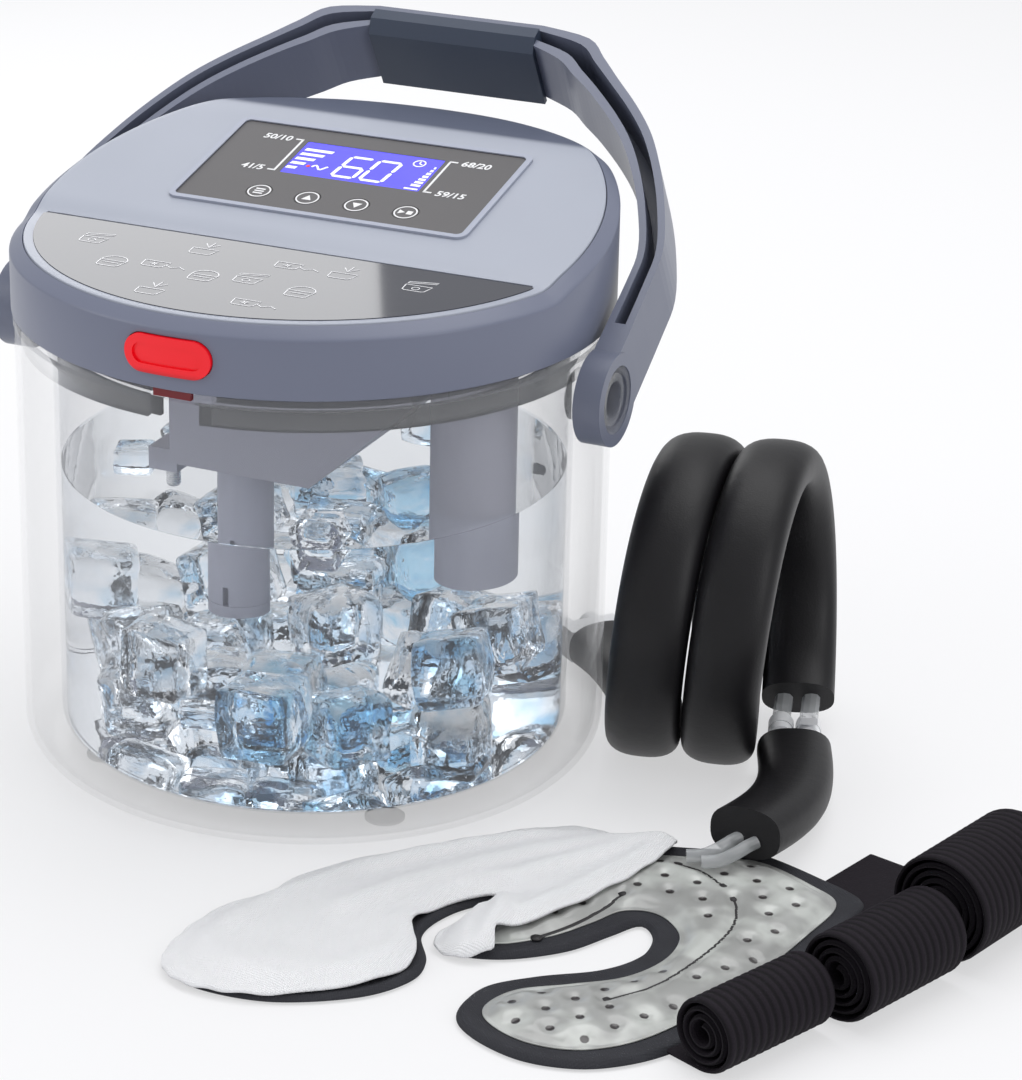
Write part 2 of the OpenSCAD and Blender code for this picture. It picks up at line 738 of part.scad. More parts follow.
// open smooth curve through points
function smooth_run(p, steps = 4) = concat([for (i = [0:len(p) - 2], k = [0:steps - 1])
    curve_at(p[max(i - 1, 0)], p[i], p[i + 1], p[min(i + 2, len(p) - 1)], k / steps)],
    [p[len(p) - 1]]);
function down_left(p) = [for (i = [len(p) - 1:-1:0]) [-p[i][0], p[i][1]]];
function up_and_over(p) = concat(
    [for (i = [0:len(p) - 1]) [-p[i][0], p[i][1]]],
    [for (i = [len(p) - 1:-1:0]) p[i]]);

module bail_band(from, to) {
    inner = smooth_run(bail_edge(from));
    outer = smooth_run(bail_edge(to));
    polygon(concat(inner, down_left(inner), up_and_over(outer)));
}

module in_handle_plane() {
    translate([0, pivot_y, pivot_z]) rotate([90 - handle_lean, 0, 0]) children();
}

module handle_frame() {
    wall = 0.28;
    color([0.45, 0.47, 0.53]) in_handle_plane() difference() {
        union() {
            translate([0, 0, -band_depth / 2]) linear_extrude(band_depth) bail_band(0, 1);
            for (side = [-1, 1]) translate([side * ring_in, 0, 0]) rotate([0, side * 90, 0])
                cylinder(r = ring_r, h = ring_t, $fn = smooth);
        }
        // groove down the front of the band
        difference() {
            translate([0, 0, band_depth / 2 - groove_depth]) linear_extrude(band_depth)
                bail_band(wall, 1 - wall);
            translate([-200, -1, -50]) cube([400, ring_r + 8, 100]);
        }
        // bores for the hubs, and room for the ring faces
        for (side = [-1, 1]) translate([side * (ring_in - 1), 0, 0]) rotate([0, side * 90, 0])
            cylinder(r = hub_r + hub_play, h = ring_t + 4, $fn = smooth);
        // seat of the grip sleeve
        translate([-grip_half - fit, grip_in - 8, band_depth / 2 - groove_depth])
            cube([2 * grip_half + 2 * fit, 16.3, 60]);
    }
}

module grip_sleeve() {
    depth = 34;
    thick = 8;
    color([0.24, 0.29, 0.35]) in_handle_plane()
        translate([-grip_half, grip_in, 0]) rotate([90, 0, 90]) linear_extrude(2 * grip_half)
            grip_section(depth, thick);
}

// out from the pivot across, handle depth up: an open channel that clasps the band
module grip_section(depth, thick) {
    chamfer = 5;
    seat = band_depth / 2 - groove_depth;
    polygon([[-2.4, -depth / 2], [-2.4, depth / 2 - chamfer], [-2.4 + chamfer, depth / 2],
             [thick, depth / 2], [thick, seat], [-0.1, seat], [-0.1, -depth / 2]]);
}

// ---------------------------------------------------------------- hose set

coil_yaw = 13;
coil_axis = [cos(coil_yaw), sin(coil_yaw), 0];
coil_away = [-sin(coil_yaw), cos(coil_yaw), 0];
coil_start = [129.9, 48.8, 0];
coil_turns = 1.93;
coil_steps = 24;
floor_r = norm(coil_start);
floor_a = atan2(coil_start[1], coil_start[0]);
floor_sweep = 33;                     // degrees of the stretch behind the tank
floor_steps = 6;

function coil_point(t) = coil_start + coil_axis * (coil_pitch * t)
    - coil_away * (coil_r * sin(360 * t))
    + [0, 0, hose_t / 2 + coil_r * (1 - cos(360 * t))];
function floor_point(a) = [floor_r * cos(a), floor_r * sin(a), hose_t / 2];

hose_path = concat(
    [for (i = [floor_steps:-1:1]) floor_point(floor_a + floor_sweep * i / floor_steps)],
    [for (i = [0:coil_turns * coil_steps]) coil_point(i / coil_steps)]);
hose_sides = concat(
    [for (i = [floor_steps:-1:1])
        let (a = floor_a + floor_sweep * i / floor_steps) [cos(a), sin(a), 0]],
    [for (i = [0:coil_turns * coil_steps]) coil_axis]);
hose_end = hose_path[len(hose_path) - 1];
hose_end_dir = tangent(hose_path, len(hose_path) - 1);

module hose_coil() {
    color([0.09, 0.09, 0.1]) sweep(hose_path, hose_sides, hose_w, hose_t, 12);
}

module hose_plug() {
    a = floor_a + floor_sweep;
    color([0.92, 0.93, 0.94]) translate([floor_r * cos(a), floor_r * sin(a), hose_t / 2])
        rotate([0, 0, a - floor_sweep / floor_steps / 2]) {
            translate([-13, 0.4, -7]) cube([26, 12, 14]);
            for (x = [-6.5, 6.5]) translate([x, 12, 0]) rotate([-90, 0, 0])
                difference() {
                    cylinder(r = 5.2, h = 10, $fn = fine);
                    cylinder(r = 2.6, h = 14, $fn = fine);
                }
        }
}

// the couplings lie between the coil's cut end and the short sleeve
coupling_mouth = [184.2, 78, 8];
sleeve_start = [194.7, 47.5, hose_t / 2];
sleeve_stop = [207.5, -44, hose_t / 2 + 7];
sleeve_bow = 8;
coupling_gap = 5.6;                   // half the distance between the two tubes
coupling_dir = unit([sleeve_start[0] - coupling_mouth[0], sleeve_start[1] - coupling_mouth[1], 0]);
coupling_side = [-coupling_dir[1], coupling_dir[0], 0];

module hose_tails() {
    color([0.85, 0.87, 0.88, 0.6]) for (s = [-1, 1])
        let (side = coupling_side * (s * coupling_gap),
             root = hose_end + hose_end_dir * 0.9 + coil_axis * (s * coupling_gap),
             mouth = coupling_mouth + side - coupling_dir * 1.2)
        tube_path([root, root + hose_end_dir * 2.5,
                   root * 0.35 + mouth * 0.65 + [0, 0, -0.6],
                   mouth - coupling_dir * 1.2, mouth], tube_r, coil_axis);
}

module along_coupling(start, s) {
    p = coupling_mouth + coupling_side * (s * coupling_gap) + coupling_dir * start;
    translate(p) rotate([0, 0, atan2(coupling_dir[1], coupling_dir[0])]) rotate([0, 90, 0])
        children();
}

module coupling_sockets() {
    color([0.93, 0.93, 0.94]) for (s = [-1, 1]) along_coupling(0.3, s) {
        cylinder(r = 4.6, h = 3, $fn = fine);
        translate([0, 0, 2.5]) cylinder(r = 5.3, h = 7.5, $fn = fine);
    }
}

module coupling_plugs() {
    color([0.9, 0.9, 0.92]) for (s = [-1, 1]) along_coupling(10.5, s) {
        cylinder(r = 5, h = 5, $fn = fine);
        translate([0, 0, 4.5]) cylinder(r = 3.6, h = 16.6, $fn = fine);
    }
}

module thumb_latch() {
    color([0.9, 0.9, 0.92]) along_coupling(11, 1) {
        translate([-9.2, -3.5, 0.5]) cube([3, 7, 4]);
        for (y = [-2.6, 1.4]) translate([-9.8, y, 1]) cube([1, 1.2, 3]);
    }
}

module short_sleeve() {
    color([0.09, 0.09, 0.1]) sweep(
        [for (t = [0:0.125:1]) sleeve_start + (sleeve_stop - sleeve_start) * t
            + [sleeve_bow * sin(180 * t), 0, -1.2 * sin(180 * t)]],
        [for (t = [0:0.125:1]) coupling_side], hose_w, hose_t, 12);
}

module pad_inlet_tubes() {
    heading = unit([-17, 5, 0]);
    color([0.85, 0.87, 0.88, 0.6]) for (s = [-1, 1])
        let (start = sleeve_stop + heading * (3.6 * s) + [-1, -2.6, -3.6])
        tube_path([start, start + [-3, -5, -1.5], start + [-8, -9, -3.8], start + [-14, -12, -4.3]],
                  2.6, [0, 0, 1]);
}

// ---------------------------------------------------------------- wrap pad

pad_corners = [
    [186, -36], [199, -31], [212, -30], [236, -38], [258, -49], [260, -66], [254, -100],
    [250, -130], [243, -160], [234, -184], [222, -200], [207, -210], [187, -213], [166, -206],
    [155, -194], [156, -174], [170, -158], [189, -143], [198, -127], [197, -111], [189, -103],
    [182, -115], [173, -132], [160, -145], [148, -152], [136, -154], [131, -146], [132, -130],
    [138, -112], [133, -110], [122, -126], [119, -146], [129, -164], [130, -180], [118, -199],
    [91, -216], [62, -219], [47, -210], [43, -192], [45, -168], [57, -146], [62, -127],
    [74, -108], [90, -90], [110, -70], [134, -47], [156, -46], [174, -40]];
bladder_corners = [
    [192, -44], [212, -38], [236, -47], [250, -58], [248, -86], [242, -124], [234, -156],
    [222, -184], [206, -200], [187, -204], [170, -198], [163, -188], [168, -172], [184, -159],
    [200, -145], [208, -126], [206, -107], [193, -95], [180, -98], [173, -112], [164, -128],
    [150, -142], [141, -142], [143, -124], [148, -106], [133, -99], [118, -112], [109, -136],
    [119, -166], [116, -184], [91, -206], [66, -208], [55, -196], [56, -170], [68, -140],
    [84, -112], [110, -84], [138, -60], [168, -52]];
cover_corners = [
    [178, -40], [179, -62], [170, -96], [158, -126], [148, -142], [150, -152], [139, -158],
    [127, -153], [125, -139], [132, -122], [139, -112], [131, -112], [119, -127], [115, -146],
    [125, -164], [126, -180], [114, -199], [88, -217], [60, -221], [44, -211], [40, -192],
    [42, -167], [54, -148], [58, -127], [70, -108], [87, -89], [107, -68], [133, -43],
    [156, -42]];

module pad_backing() {
    color([0.2, 0.2, 0.22]) linear_extrude(backing_t) polygon(smooth_loop(pad_corners));
}

module pad_bladder() {
    color([0.66, 0.67, 0.65]) translate([0, 0, backing_t + fit]) linear_extrude(bladder_t)
        polygon(smooth_loop(bladder_corners));
}

module pad_cover() {
    color([0.9, 0.9, 0.92]) translate([0, 0, backing_t + bladder_t + 3 * fit])
        linear_extrude(cover_t) polygon(smooth_loop(cover_corners));
}

// a strap rolled from its free end, with a flat tail that runs to the pad's edge:
// the ribbon's length follows from the roll's radius and pitch
module strap_roll(place, heading, radius, tail) {
    first = radius - strap_t - strap_pitch * floor((radius - strap_t - 2.2) / strap_pitch * 24) / 24;
    steps = 24;
    turns = (radius - strap_t - first) / strap_pitch;
    spiral = function(offset) [for (i = [0:round(turns * steps)])
        let (a = 360 * i / steps, r = first + strap_pitch * i / steps + offset)
        [r * cos(a + 270 - 360 * turns), r * sin(a + 270 - 360 * turns)]];
    outer = concat(spiral(strap_t), [[tail, -first - strap_pitch * turns - strap_t]]);
    inner = concat(spiral(0), [[tail, -first - strap_pitch * turns]]);
    color([0.12, 0.1, 0.13]) difference() {
        translate([place[0], place[1], radius + 0.05])
            rotate([0, 0, heading]) rotate([90, 0, 90]) linear_extrude(strap_w)
                polygon(concat(inner, [for (i = [len(outer) - 1:-1:0]) outer[i]]));
        translate([0, 0, -1]) linear_extrude(6) polygon(smooth_loop(pad_corners));
    }
}

module strap_roll_small() {
    strap_roll([247, -192], 67.5, 15, 34);
}

module strap_roll_middle() {
    strap_roll([276.5, -137], 70, 18, 52);
}

module strap_roll_large() {
    strap_roll([295, -79], 74.5, 22, 64);
}

// ---------------------------------------------------------------- every sub-part
tank_outer_shell();
tank_inner_liner();
tank_rim_collar();
foot_pads();
pivot_cap_left();
pivot_cap_right();
lid_skirt();
lid_top_cover();
lid_underplate();
lid_seal();
label_plate();
panel_rim_frame();
panel_overlay();
lcd_module();
lcd_window();
control_board();
key_mode();
key_up();
key_down();
key_run();
release_button();
button_spring();
pump_housing();
pump_motor();
pump_volute();
impeller();
heater_block();
intake_stem();
intake_strainer();
return_column();
temperature_probe();
suction_hose();
delivery_hose();
supply_port();
return_port();
power_socket();
main_board();
buzzer();
lid_screws();
handle_frame();
grip_sleeve();
hose_coil();
hose_plug();
hose_tails();
coupling_sockets();
coupling_plugs();
thumb_latch();
short_sleeve();
pad_inlet_tubes();
pad_backing();
pad_bladder();
pad_cover();
strap_roll_small();
strap_roll_middle();
strap_roll_large();
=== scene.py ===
"""Looks of a hot and cold therapy machine with its hose, wrap pad, cover and straps.

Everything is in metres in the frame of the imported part: +Z up, -Y towards the red
release button, +X towards the hose. Names ending in _mm are millimetres.
"""
import math

import bmesh
import bpy
import numpy as np
from mathutils import Matrix, Vector
from mathutils.geometry import delaunay_2d_cdt


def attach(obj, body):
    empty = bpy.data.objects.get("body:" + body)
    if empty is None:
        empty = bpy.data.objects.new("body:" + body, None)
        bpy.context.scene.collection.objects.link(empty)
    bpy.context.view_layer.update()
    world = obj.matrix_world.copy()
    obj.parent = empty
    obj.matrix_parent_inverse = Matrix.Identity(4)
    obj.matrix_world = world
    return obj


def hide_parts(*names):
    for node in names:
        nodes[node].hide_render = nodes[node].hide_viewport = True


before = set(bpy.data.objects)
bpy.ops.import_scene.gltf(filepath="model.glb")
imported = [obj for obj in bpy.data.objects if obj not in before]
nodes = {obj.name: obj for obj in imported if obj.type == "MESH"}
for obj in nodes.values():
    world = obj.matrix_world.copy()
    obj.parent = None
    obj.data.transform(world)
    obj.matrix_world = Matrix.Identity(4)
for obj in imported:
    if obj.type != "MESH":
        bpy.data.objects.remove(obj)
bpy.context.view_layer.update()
MM = 0.001
UP = np.array([0.0, 0.0, 1.0])


# ---- camera

FOCAL_PX = 3638.4            # focal length in pixels of the photograph
PHOTO_W, PHOTO_H = 1022, 1080
CENTRE_PX = (314.0, 503.8)   # where the view axis meets the photograph
ELEVATION = math.radians(21.717)
YAW = math.radians(26.81)
DISTANCE = 1.48855
TARGET = Vector((0, 0, 0.1))


def add_camera():
    """Looks from the south-east and above, along an axis that meets the photograph at
    CENTRE_PX."""
    back = Vector((math.sin(YAW) * math.cos(ELEVATION), -math.cos(YAW) * math.cos(ELEVATION),
                   math.sin(ELEVATION)))
    right = Vector((math.cos(YAW), math.sin(YAW), 0))
    up = back.cross(right)
    cam = add_object("camera", bpy.data.cameras.new("camera"))
    turn = Matrix((right, up, back)).transposed().to_4x4()
    cam.matrix_world = Matrix.Translation(TARGET + back * DISTANCE) @ turn
    cam.data.sensor_width = 36
    cam.data.lens = FOCAL_PX / PHOTO_H * 36
    cam.data.shift_x = (PHOTO_W / 2 - CENTRE_PX[0]) / PHOTO_H
    cam.data.shift_y = -(PHOTO_H / 2 - CENTRE_PX[1]) / PHOTO_H
    cam.data.clip_start = 0.05
    cam.data.clip_end = 50
    bpy.context.scene.camera = cam


# ---- mesh helpers

def rgb(r, g, b):
    """Linear colour of an sRGB colour given from 0 to 255."""
    lin = [c / 255 / 12.92 if c <= 10 else ((c / 255 + 0.055) / 1.055) ** 2.4 for c in (r, g, b)]
    return (*lin, 1.0)


def smooth_step(t):
    """t squared times (3 - 2t), held at 0 and 1 outside."""
    t = np.clip(t, 0, 1)
    return t * t * (3 - 2 * t)


def add_object(name, data):
    obj = bpy.data.objects.new(name, data)
    bpy.context.scene.collection.objects.link(obj)
    return obj


def make_mesh(name, verts, faces, smooth=True):
    """A new object in the scene from arrays of corners and lists of faces."""
    mesh = bpy.data.meshes.new(name)
    mesh.from_pydata(np.asarray(verts, float).tolist(), [], [list(map(int, f)) for f in faces])
    mesh.validate()
    mesh.update()
    mesh.polygons.foreach_set("use_smooth", [smooth] * len(mesh.polygons))
    return add_object(name, mesh)


def finish(obj, look, body, replaces=None):
    """Gives a finished piece its material, the body it rides on and the node it replaces."""
    obj.data.materials.clear()
    obj.data.materials.append(look)
    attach(obj, body)
    if replaces:
        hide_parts(replaces)
    return obj


def mark_sharp(obj, deg):
    """Shades smooth, with edges sharper than deg kept crisp."""
    obj.data.polygons.foreach_set("use_smooth", [True] * len(obj.data.polygons))
    obj.data.set_sharp_from_angle(angle=math.radians(deg))


def grid_faces(rows, cols, wrap_rows=False, wrap_cols=False):
    """Four-sided faces of a grid of rows by cols points, numbered row by row."""
    i = np.arange(rows if wrap_rows else rows - 1)[:, None]
    j = np.arange(cols if wrap_cols else cols - 1)[None]
    i2, j2 = (i + 1) % rows, (j + 1) % cols
    quads = np.stack([i * cols + j, i * cols + j2, i2 * cols + j2, i2 * cols + j], axis=-1)
    return quads.reshape(-1, 4).tolist()


def join(name, *objs):
    """One object from several, without their materials."""
    verts, faces, base = [], [], 0
    for obj in objs:
        points = np.empty((len(obj.data.vertices), 3), np.float32)
        obj.data.vertices.foreach_get("co", points.ravel())
        verts.append(points)
        faces += [[base + i for i in face.vertices] for face in obj.data.polygons]
        base += len(points)
        bpy.data.objects.remove(obj)
    return make_mesh(name, np.concatenate(verts), faces)


def evaluated(obj):
    """The mesh that an object's modifiers, or its text, come to."""
    bpy.context.view_layer.update()
    return bpy.data.meshes.new_from_object(
        obj.evaluated_get(bpy.context.evaluated_depsgraph_get()))


def cut(obj, cutter):
    """Takes the cutter's space out of obj and removes the cutter."""
    m = obj.modifiers.new("cut", "BOOLEAN")
    m.operation, m.solver, m.object = "DIFFERENCE", "EXACT", cutter
    mesh = evaluated(obj)
    obj.modifiers.clear()
    obj.data = mesh
    bpy.data.objects.remove(cutter)


def place(obj, matrix):
    obj.data.transform(matrix)
    obj.data.update()
    return obj


def prism(name, outline_mm, depth_mm, at_mm=0.0):
    """A closed outline in XY, extruded up by depth from the height at."""
    n = len(outline_mm)
    flat = np.asarray(outline_mm, float)
    verts = np.vstack([np.column_stack([flat, np.full(n, at_mm)]),
                       np.column_stack([flat, np.full(n, at_mm + depth_mm)])]) * MM
    faces = [list(range(n))[::-1], list(range(n, 2 * n))]
    faces += [(i, (i + 1) % n, n + (i + 1) % n, n + i) for i in range(n)]
    obj = face_out(make_mesh(name, verts, faces))
    mark_sharp(obj, 30)
    return obj


def face_out(obj, merge=0.0):
    """Merges points closer than merge and turns every face of a closed mesh outwards."""
    bm = bmesh.new()
    bm.from_mesh(obj.data)
    if merge:
        bmesh.ops.remove_doubles(bm, verts=bm.verts, dist=merge)
    bmesh.ops.recalc_face_normals(bm, faces=bm.faces)
    bm.to_mesh(obj.data)
    bm.free()
    return obj


def arc(cx, cy, r, start_deg, end_deg, steps=8):
    """Points of a round arc: centre plus r times (cos a, sin a)."""
    a = np.radians(np.linspace(start_deg, end_deg, steps))
    return [(cx + r * math.cos(t), cy + r * math.sin(t)) for t in a]


def circle(x, y, r, steps=32):
    return arc(x, y, r, 0, 360 - 360 / steps, steps)


def rounded_rect(w, h, r, steps=6):
    """Four quarter arcs of radius r, one at each corner of w by h."""
    x, y = w / 2 - r, h / 2 - r
    corners = ((x, y, 0), (-x, y, 90), (-x, -y, 180), (x, -y, 270))
    return [p for cx, cy, a in corners for p in arc(cx, cy, r, a, a + 90, steps)]


def catmull(points, steps, closed=False):
    """Smooth curve through points. Between b and c, with a before and d after them, it is
    half of 2b + (c - a)t + (2a - 5b + 4c - d)t^2 + (3b - a - 3c + d)t^3."""
    p = np.array(points, float)
    ends = (p[-1:], p[:2]) if closed else (p[:1], p[-1:])
    q = np.vstack([ends[0], p, ends[1]])[:, None]
    a, b, c, d = q[:-3], q[1:-2], q[2:-1], q[3:]
    t = (np.arange(steps) / steps)[None, :, None]
    out = 0.5 * (2 * b + (c - a) * t + (2 * a - 5 * b + 4 * c - d) * t * t
                 + (3 * b - a - 3 * c + d) * t ** 3)
    out = out.reshape(-1, p.shape[1])
    return out if closed else np.vstack([out, p[-1:]])


def tangents(path):
    """Unit direction at each point of a path."""
    d = np.gradient(path, axis=0)
    return d / np.linalg.norm(d, axis=1)[:, None]


def sweep(name, path, side, width, thick, around=40, power=2.6):
    """Oval section along a path. The section's rim is (cos a, sin a) scaled by
    (|cos a|^p + |sin a|^p)^(-1/p), half a width by half a thickness in size. Its width
    lies along side, made square to the path."""
    d = tangents(path)
    s = side - d * (side * d).sum(1)[:, None]
    s /= np.linalg.norm(s, axis=1)[:, None]
    u = np.cross(d, s)
    a = (np.arange(around) + 0.5) * 2 * math.pi / around
    e = (np.abs(np.cos(a)) ** power + np.abs(np.sin(a)) ** power) ** (-1 / power)
    cw, ct = np.cos(a) * e * width / 2, np.sin(a) * e * thick / 2
    verts = (path[:, None] + s[:, None] * cw[None, :, None]
             + u[:, None] * ct[None, :, None]).reshape(-1, 3)
    faces = grid_faces(len(path), around, wrap_cols=True)
    last = (len(path) - 1) * around
    faces += [list(range(around)), list(range(last, last + around))[::-1]]
    obj = face_out(make_mesh(name, verts, faces))
    mark_sharp(obj, 50)
    return obj


# ---- material helpers

class Value:
    """A socket of a material's node tree that can be added, multiplied and so on."""

    def __init__(self, net, socket):
        self.net, self.socket = net, socket

    def math(self, operation, other=0.0):
        node = self.net.node("ShaderNodeMath", {0: self, 1: other}, operation=operation)
        return Value(self.net, node.outputs[0])

    def __add__(self, other):
        return self.math("ADD", other)

    __radd__ = __add__

    def __sub__(self, other):
        return self.math("SUBTRACT", other)

    def __rsub__(self, other):
        return self * -1.0 + other

    def __mul__(self, other):
        return self.math("MULTIPLY", other)

    __rmul__ = __mul__

    def __pow__(self, other):
        return self.math("POWER", other)

    def above(self, low, high):
        """0 below low, 1 above high and smooth between."""
        node = self.net.node("ShaderNodeMapRange",
                             {"Value": self, "From Min": low, "From Max": high},
                             interpolation_type="SMOOTHSTEP")
        return Value(self.net, node.outputs["Result"])


class Net:
    """A procedural material around one Principled shader."""

    def __init__(self, name, **values):
        self.material = bpy.data.materials.new(name)
        self.material.use_nodes = True
        self.tree = self.material.node_tree
        self.shader = self.tree.nodes["Principled BSDF"]
        self.set(**values)

    def node(self, kind, inputs=(), **settings):
        """Adds a node: its settings first, then the values or links of its sockets."""
        node = self.tree.nodes.new(kind)
        for key, value in settings.items():
            setattr(node, key, value)
        for key, value in dict(inputs).items():
            self.feed(node.inputs[key], value)
        return node

    def feed(self, socket, value):
        if isinstance(value, Value):
            value = value.socket
        if isinstance(value, bpy.types.NodeSocket):
            self.tree.links.new(value, socket)
        else:
            socket.default_value = value

    def set(self, **values):
        for key, value in values.items():
            self.feed(self.shader.inputs[key.replace("_", " ")], value)

    def here(self):
        return self.node("ShaderNodeTexCoord").outputs["Object"]

    def place(self):
        """X, Y and Z of the surface in the part's frame, in millimetres."""
        split = self.node("ShaderNodeSeparateXYZ", {0: self.here()})
        return [Value(self, o) * 1000.0 for o in split.outputs]

    def attribute(self, name):
        return Value(self, self.node("ShaderNodeAttribute", attribute_name=name).outputs["Fac"])

    def noise(self, per_metre, detail=3.0, stretch=None):
        """Soft noise with so many lumps in a metre, stretched along the axes if asked."""
        source = self.here()
        if stretch:
            source = self.node("ShaderNodeVectorMath", {0: source, 1: stretch},
                               operation="MULTIPLY").outputs[0]
        node = self.node("ShaderNodeTexNoise",
                         {"Vector": source, "Scale": per_metre, "Detail": detail})
        return Value(self, node.outputs["Fac"])

    def cells(self, per_metre):
        """Distance to the nearest of scattered points."""
        node = self.node("ShaderNodeTexVoronoi", {"Vector": self.here(), "Scale": per_metre},
                         feature="F1")
        return Value(self, node.outputs["Distance"])

    def mix(self, factor, a, b):
        node = self.node("ShaderNodeMix", {"Factor": factor, "A": a, "B": b}, data_type="RGBA")
        return Value(self, node.outputs["Result"])

    def bump(self, height, distance_mm):
        node = self.node("ShaderNodeBump", {"Height": height, "Distance": distance_mm * MM})
        self.feed(self.shader.inputs["Normal"], node.outputs["Normal"])


def shade(colour, share):
    """The colour with its red, green and blue times share."""
    return tuple(c * share for c in colour[:3]) + (1,)


def moulded(name, colour, roughness, grain=0.012):
    """Moulded plastic: one colour with a faint drift, and a fine even grain."""
    net = Net(name, IOR=1.46)
    drift = net.noise(14, 2) * 0.1 - 0.05
    net.set(Base_Color=net.mix(drift + 0.5, shade(colour, 0.93), colour),
            Roughness=net.noise(40, 2) * 0.08 + (roughness - 0.04))
    if grain:
        net.bump(net.noise(2600, 1), grain)
    return net.material


def clear_plastic(name, tint, alpha, edge, roughness=0.05):
    """Clear wall: alpha rises from its middle value to edge where it is seen on the slant."""
    net = Net(name, Roughness=roughness, IOR=1.45, Coat_Weight=0.5, Coat_Roughness=0.03)
    slant = net.node("ShaderNodeLayerWeight", {"Blend": 0.5})
    rim = Value(net, slant.outputs["Facing"]) ** 3.0
    net.set(Alpha=rim * (edge - alpha) + alpha,
            Base_Color=net.mix(net.noise(20, 2), tint, shade(tint, 0.95)))
    return net.material


MOULDED = {                  # colour from 0 to 255, roughness, grain in mm
    "lid": ("lid_grey", (112, 117, 136), 0.36),
    "lid_light": ("lid_light", (163, 168, 184), 0.4),
    "under": ("under_grey", (164, 165, 179), 0.5),
    "dark": ("dark_part", (48, 48, 54), 0.5),
    "white": ("white_part", (232, 233, 235), 0.3, 0.006),
    "handle": ("handle_grey", (106, 111, 129), 0.36),
    "grip": ("grip_rubber", (54, 64, 82), 0.5, 0.02),
    "overlay": ("panel_overlay", (80, 78, 80), 0.36, 0.003),
    "silicone": ("silicone", (215, 215, 218), 0.6),
    "board": ("board_green", (22, 84, 52), 0.45),
    # Dark grey for a line of painted shade round the panel.
    "gap": ("gap_shadow", (34, 34, 40), 0.6, 0.0),
    "ink": ("white_print", (236, 236, 238), 0.5, 0.0),
    "faint_ink": ("label_print", (240, 240, 243), 0.35, 0.0),
    "lit_red": ("display_red", (235, 40, 40), 0.4, 0.0),
    "weld": ("weld_dark", (46, 44, 46), 0.5, 0.01),
}
WELD_PITCH = 13.2            # mm between the round welds, in a pattern of triangles
WELD_ROW = WELD_PITCH * math.sqrt(3)
CLEAR = {                    # colour, alpha seen straight on, alpha on the slant, roughness
    "shell": ("clear_shell", (247, 248, 250), 0.025, 0.3),
    "liner": ("clear_liner", (222, 228, 240), 0.028, 0.36),
    "clear": ("clear_trim", (220, 222, 227), 0.07, 0.4),
    "foot": ("clear_foot", (225, 226, 230), 0.12, 0.4),
    "tube": ("clear_tube", (205, 208, 210), 0.42, 0.85, 0.1),
}


